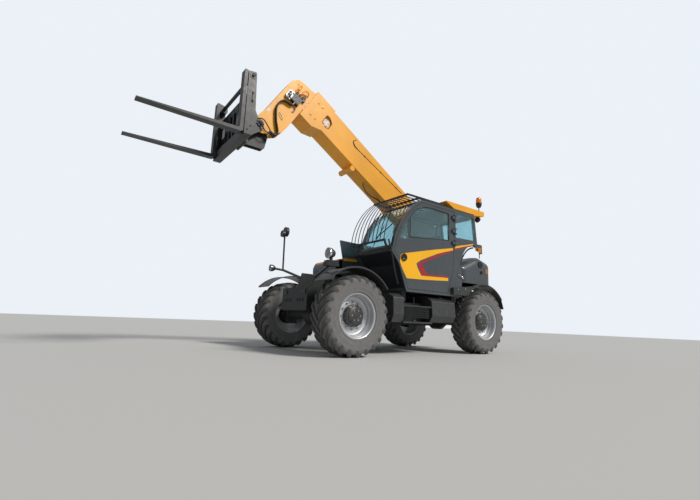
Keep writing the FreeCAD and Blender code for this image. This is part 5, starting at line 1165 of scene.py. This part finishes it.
def photo_view():
    """Camera matrix at the photograph's place, turned by its yaw, pitch and roll."""
    cos, sin = math.cos(CAMERA_YAW), math.sin(CAMERA_YAW)
    level = math.cos(CAMERA_PITCH)
    ahead = np.array([cos * level, sin * level, math.sin(CAMERA_PITCH)])
    right = np.array([sin, -cos, 0.0])
    top = np.cross(right, ahead)
    matrix = np.eye(4)
    matrix[:3, 0] = right * math.cos(CAMERA_ROLL) + top * math.sin(CAMERA_ROLL)
    matrix[:3, 1] = top * math.cos(CAMERA_ROLL) - right * math.sin(CAMERA_ROLL)
    matrix[:3, 2] = -ahead
    matrix[:3, 3] = np.array(CAMERA_PLACE) + (ORIGIN_X, 0.0, 0.0)
    return mathutils.Matrix(matrix.tolist())


class TELEHANDLER_OT_stage(bpy.types.Operator):
    """Lay the pale floor, set the soft studio light and place the camera at the photograph's angle"""
    bl_idname = "telehandler.stage"
    bl_label = "Stage"

    def execute(self, context):
        scene = context.scene
        sizes = scene.telehandler_sizes
        mesh = bpy.data.meshes.new("floor")
        reach = np.linspace(-FLOOR_REACH, FLOOR_REACH, 7)
        x, y = np.meshgrid(reach, reach, indexing="ij")
        points = np.stack([x, y, np.zeros_like(x)], axis=-1)
        vertices, faces = part(points)
        mesh.from_pydata(vertices, [], faces)
        floor = bpy.data.objects.new("floor", mesh)
        scene.collection.objects.link(floor)
        material = bpy.data.materials.new("floor")
        material.use_nodes = True
        shader = material.node_tree.nodes["Principled BSDF"]
        shader.inputs["Base Color"].default_value = FLOOR_COLOUR
        shader.inputs["Roughness"].default_value = 0.9
        mesh.materials.append(material)
        world = bpy.data.worlds.new("studio")
        scene.world = world
        world.use_nodes = True
        tree = world.node_tree
        background = tree.nodes["Background"]
        path = node(tree, "LightPath")
        seen = math_node(tree, "MAXIMUM", path.outputs["Is Camera Ray"], path.outputs["Is Transmission Ray"])
        mirror = math_node(tree, "MULTIPLY", path.outputs["Is Glossy Ray"], GLOSS_LIGHT)
        strength = math_node(tree, "ADD", spread(tree, seen, 0.0, 1.0, sizes.sky_strength, BACKDROP), mirror)
        link(tree, strength, background.inputs["Strength"])
        background.inputs["Color"].default_value = BACKDROP_COLOUR
        sun = bpy.data.lights.new("key", "SUN")
        sun.energy = sizes.sun_strength
        sun.angle = KEY_SPREAD
        sun.color = KEY_COLOUR
        key = bpy.data.objects.new("key", sun)
        key.rotation_euler = KEY_TURN
        scene.collection.objects.link(key)
        camera = bpy.data.cameras.new("camera")
        camera.lens = CAMERA_LENS
        camera.clip_end = CAMERA_REACH
        holder = bpy.data.objects.new("camera", camera)
        holder.matrix_world = photo_view()
        scene.collection.objects.link(holder)
        scene.camera = holder
        scene.view_settings.view_transform = "Standard"
        return {"FINISHED"}


class TELEHANDLER_PT_panel(bpy.types.Panel):
    """The machine's colours, sizes and building steps"""
    bl_idname = "TELEHANDLER_PT_panel"
    bl_label = "Telehandler"
    bl_space_type = "VIEW_3D"
    bl_region_type = "UI"
    bl_category = "Telehandler"

    def draw(self, context):
        layout = self.layout
        for settings in (context.scene.telehandler_paint, context.scene.telehandler_sizes):
            for name in settings.__annotations__:
                layout.prop(settings, name)
        for step in STEPS:
            layout.operator(step.bl_idname)


STEPS = (
    TELEHANDLER_OT_stage, TELEHANDLER_OT_finishes, TELEHANDLER_OT_tyres, TELEHANDLER_OT_rims,
    TELEHANDLER_OT_stripes, TELEHANDLER_OT_door_trim, TELEHANDLER_OT_cab_trim, TELEHANDLER_OT_boom_fittings,
    TELEHANDLER_OT_head_fittings, TELEHANDLER_OT_lamps, TELEHANDLER_OT_beacon, TELEHANDLER_OT_steps,
    TELEHANDLER_OT_fender_trim, TELEHANDLER_OT_rear_trim, TELEHANDLER_OT_front_trim,
    TELEHANDLER_OT_carriage_trim, TELEHANDLER_OT_seat,
)
CLASSES = (TelehandlerPaint, TelehandlerSizes) + STEPS + (TELEHANDLER_PT_panel,)


def register():
    """Add the settings, steps and panel."""
    for item in CLASSES:
        bpy.utils.register_class(item)
    bpy.types.Scene.telehandler_paint = bpy.props.PointerProperty(type=TelehandlerPaint)
    bpy.types.Scene.telehandler_sizes = bpy.props.PointerProperty(type=TelehandlerSizes)


def unregister():
    """Take the settings, steps and panel away."""
    del bpy.types.Scene.telehandler_sizes
    del bpy.types.Scene.telehandler_paint
    for item in reversed(CLASSES):
        bpy.utils.unregister_class(item)


def main():
    """Build everything in order."""
    register()
    for step in STEPS:
        area, action = step.bl_idname.split(".")
        getattr(getattr(bpy.ops, area), action)()


if __name__ == "__main__":
    main()
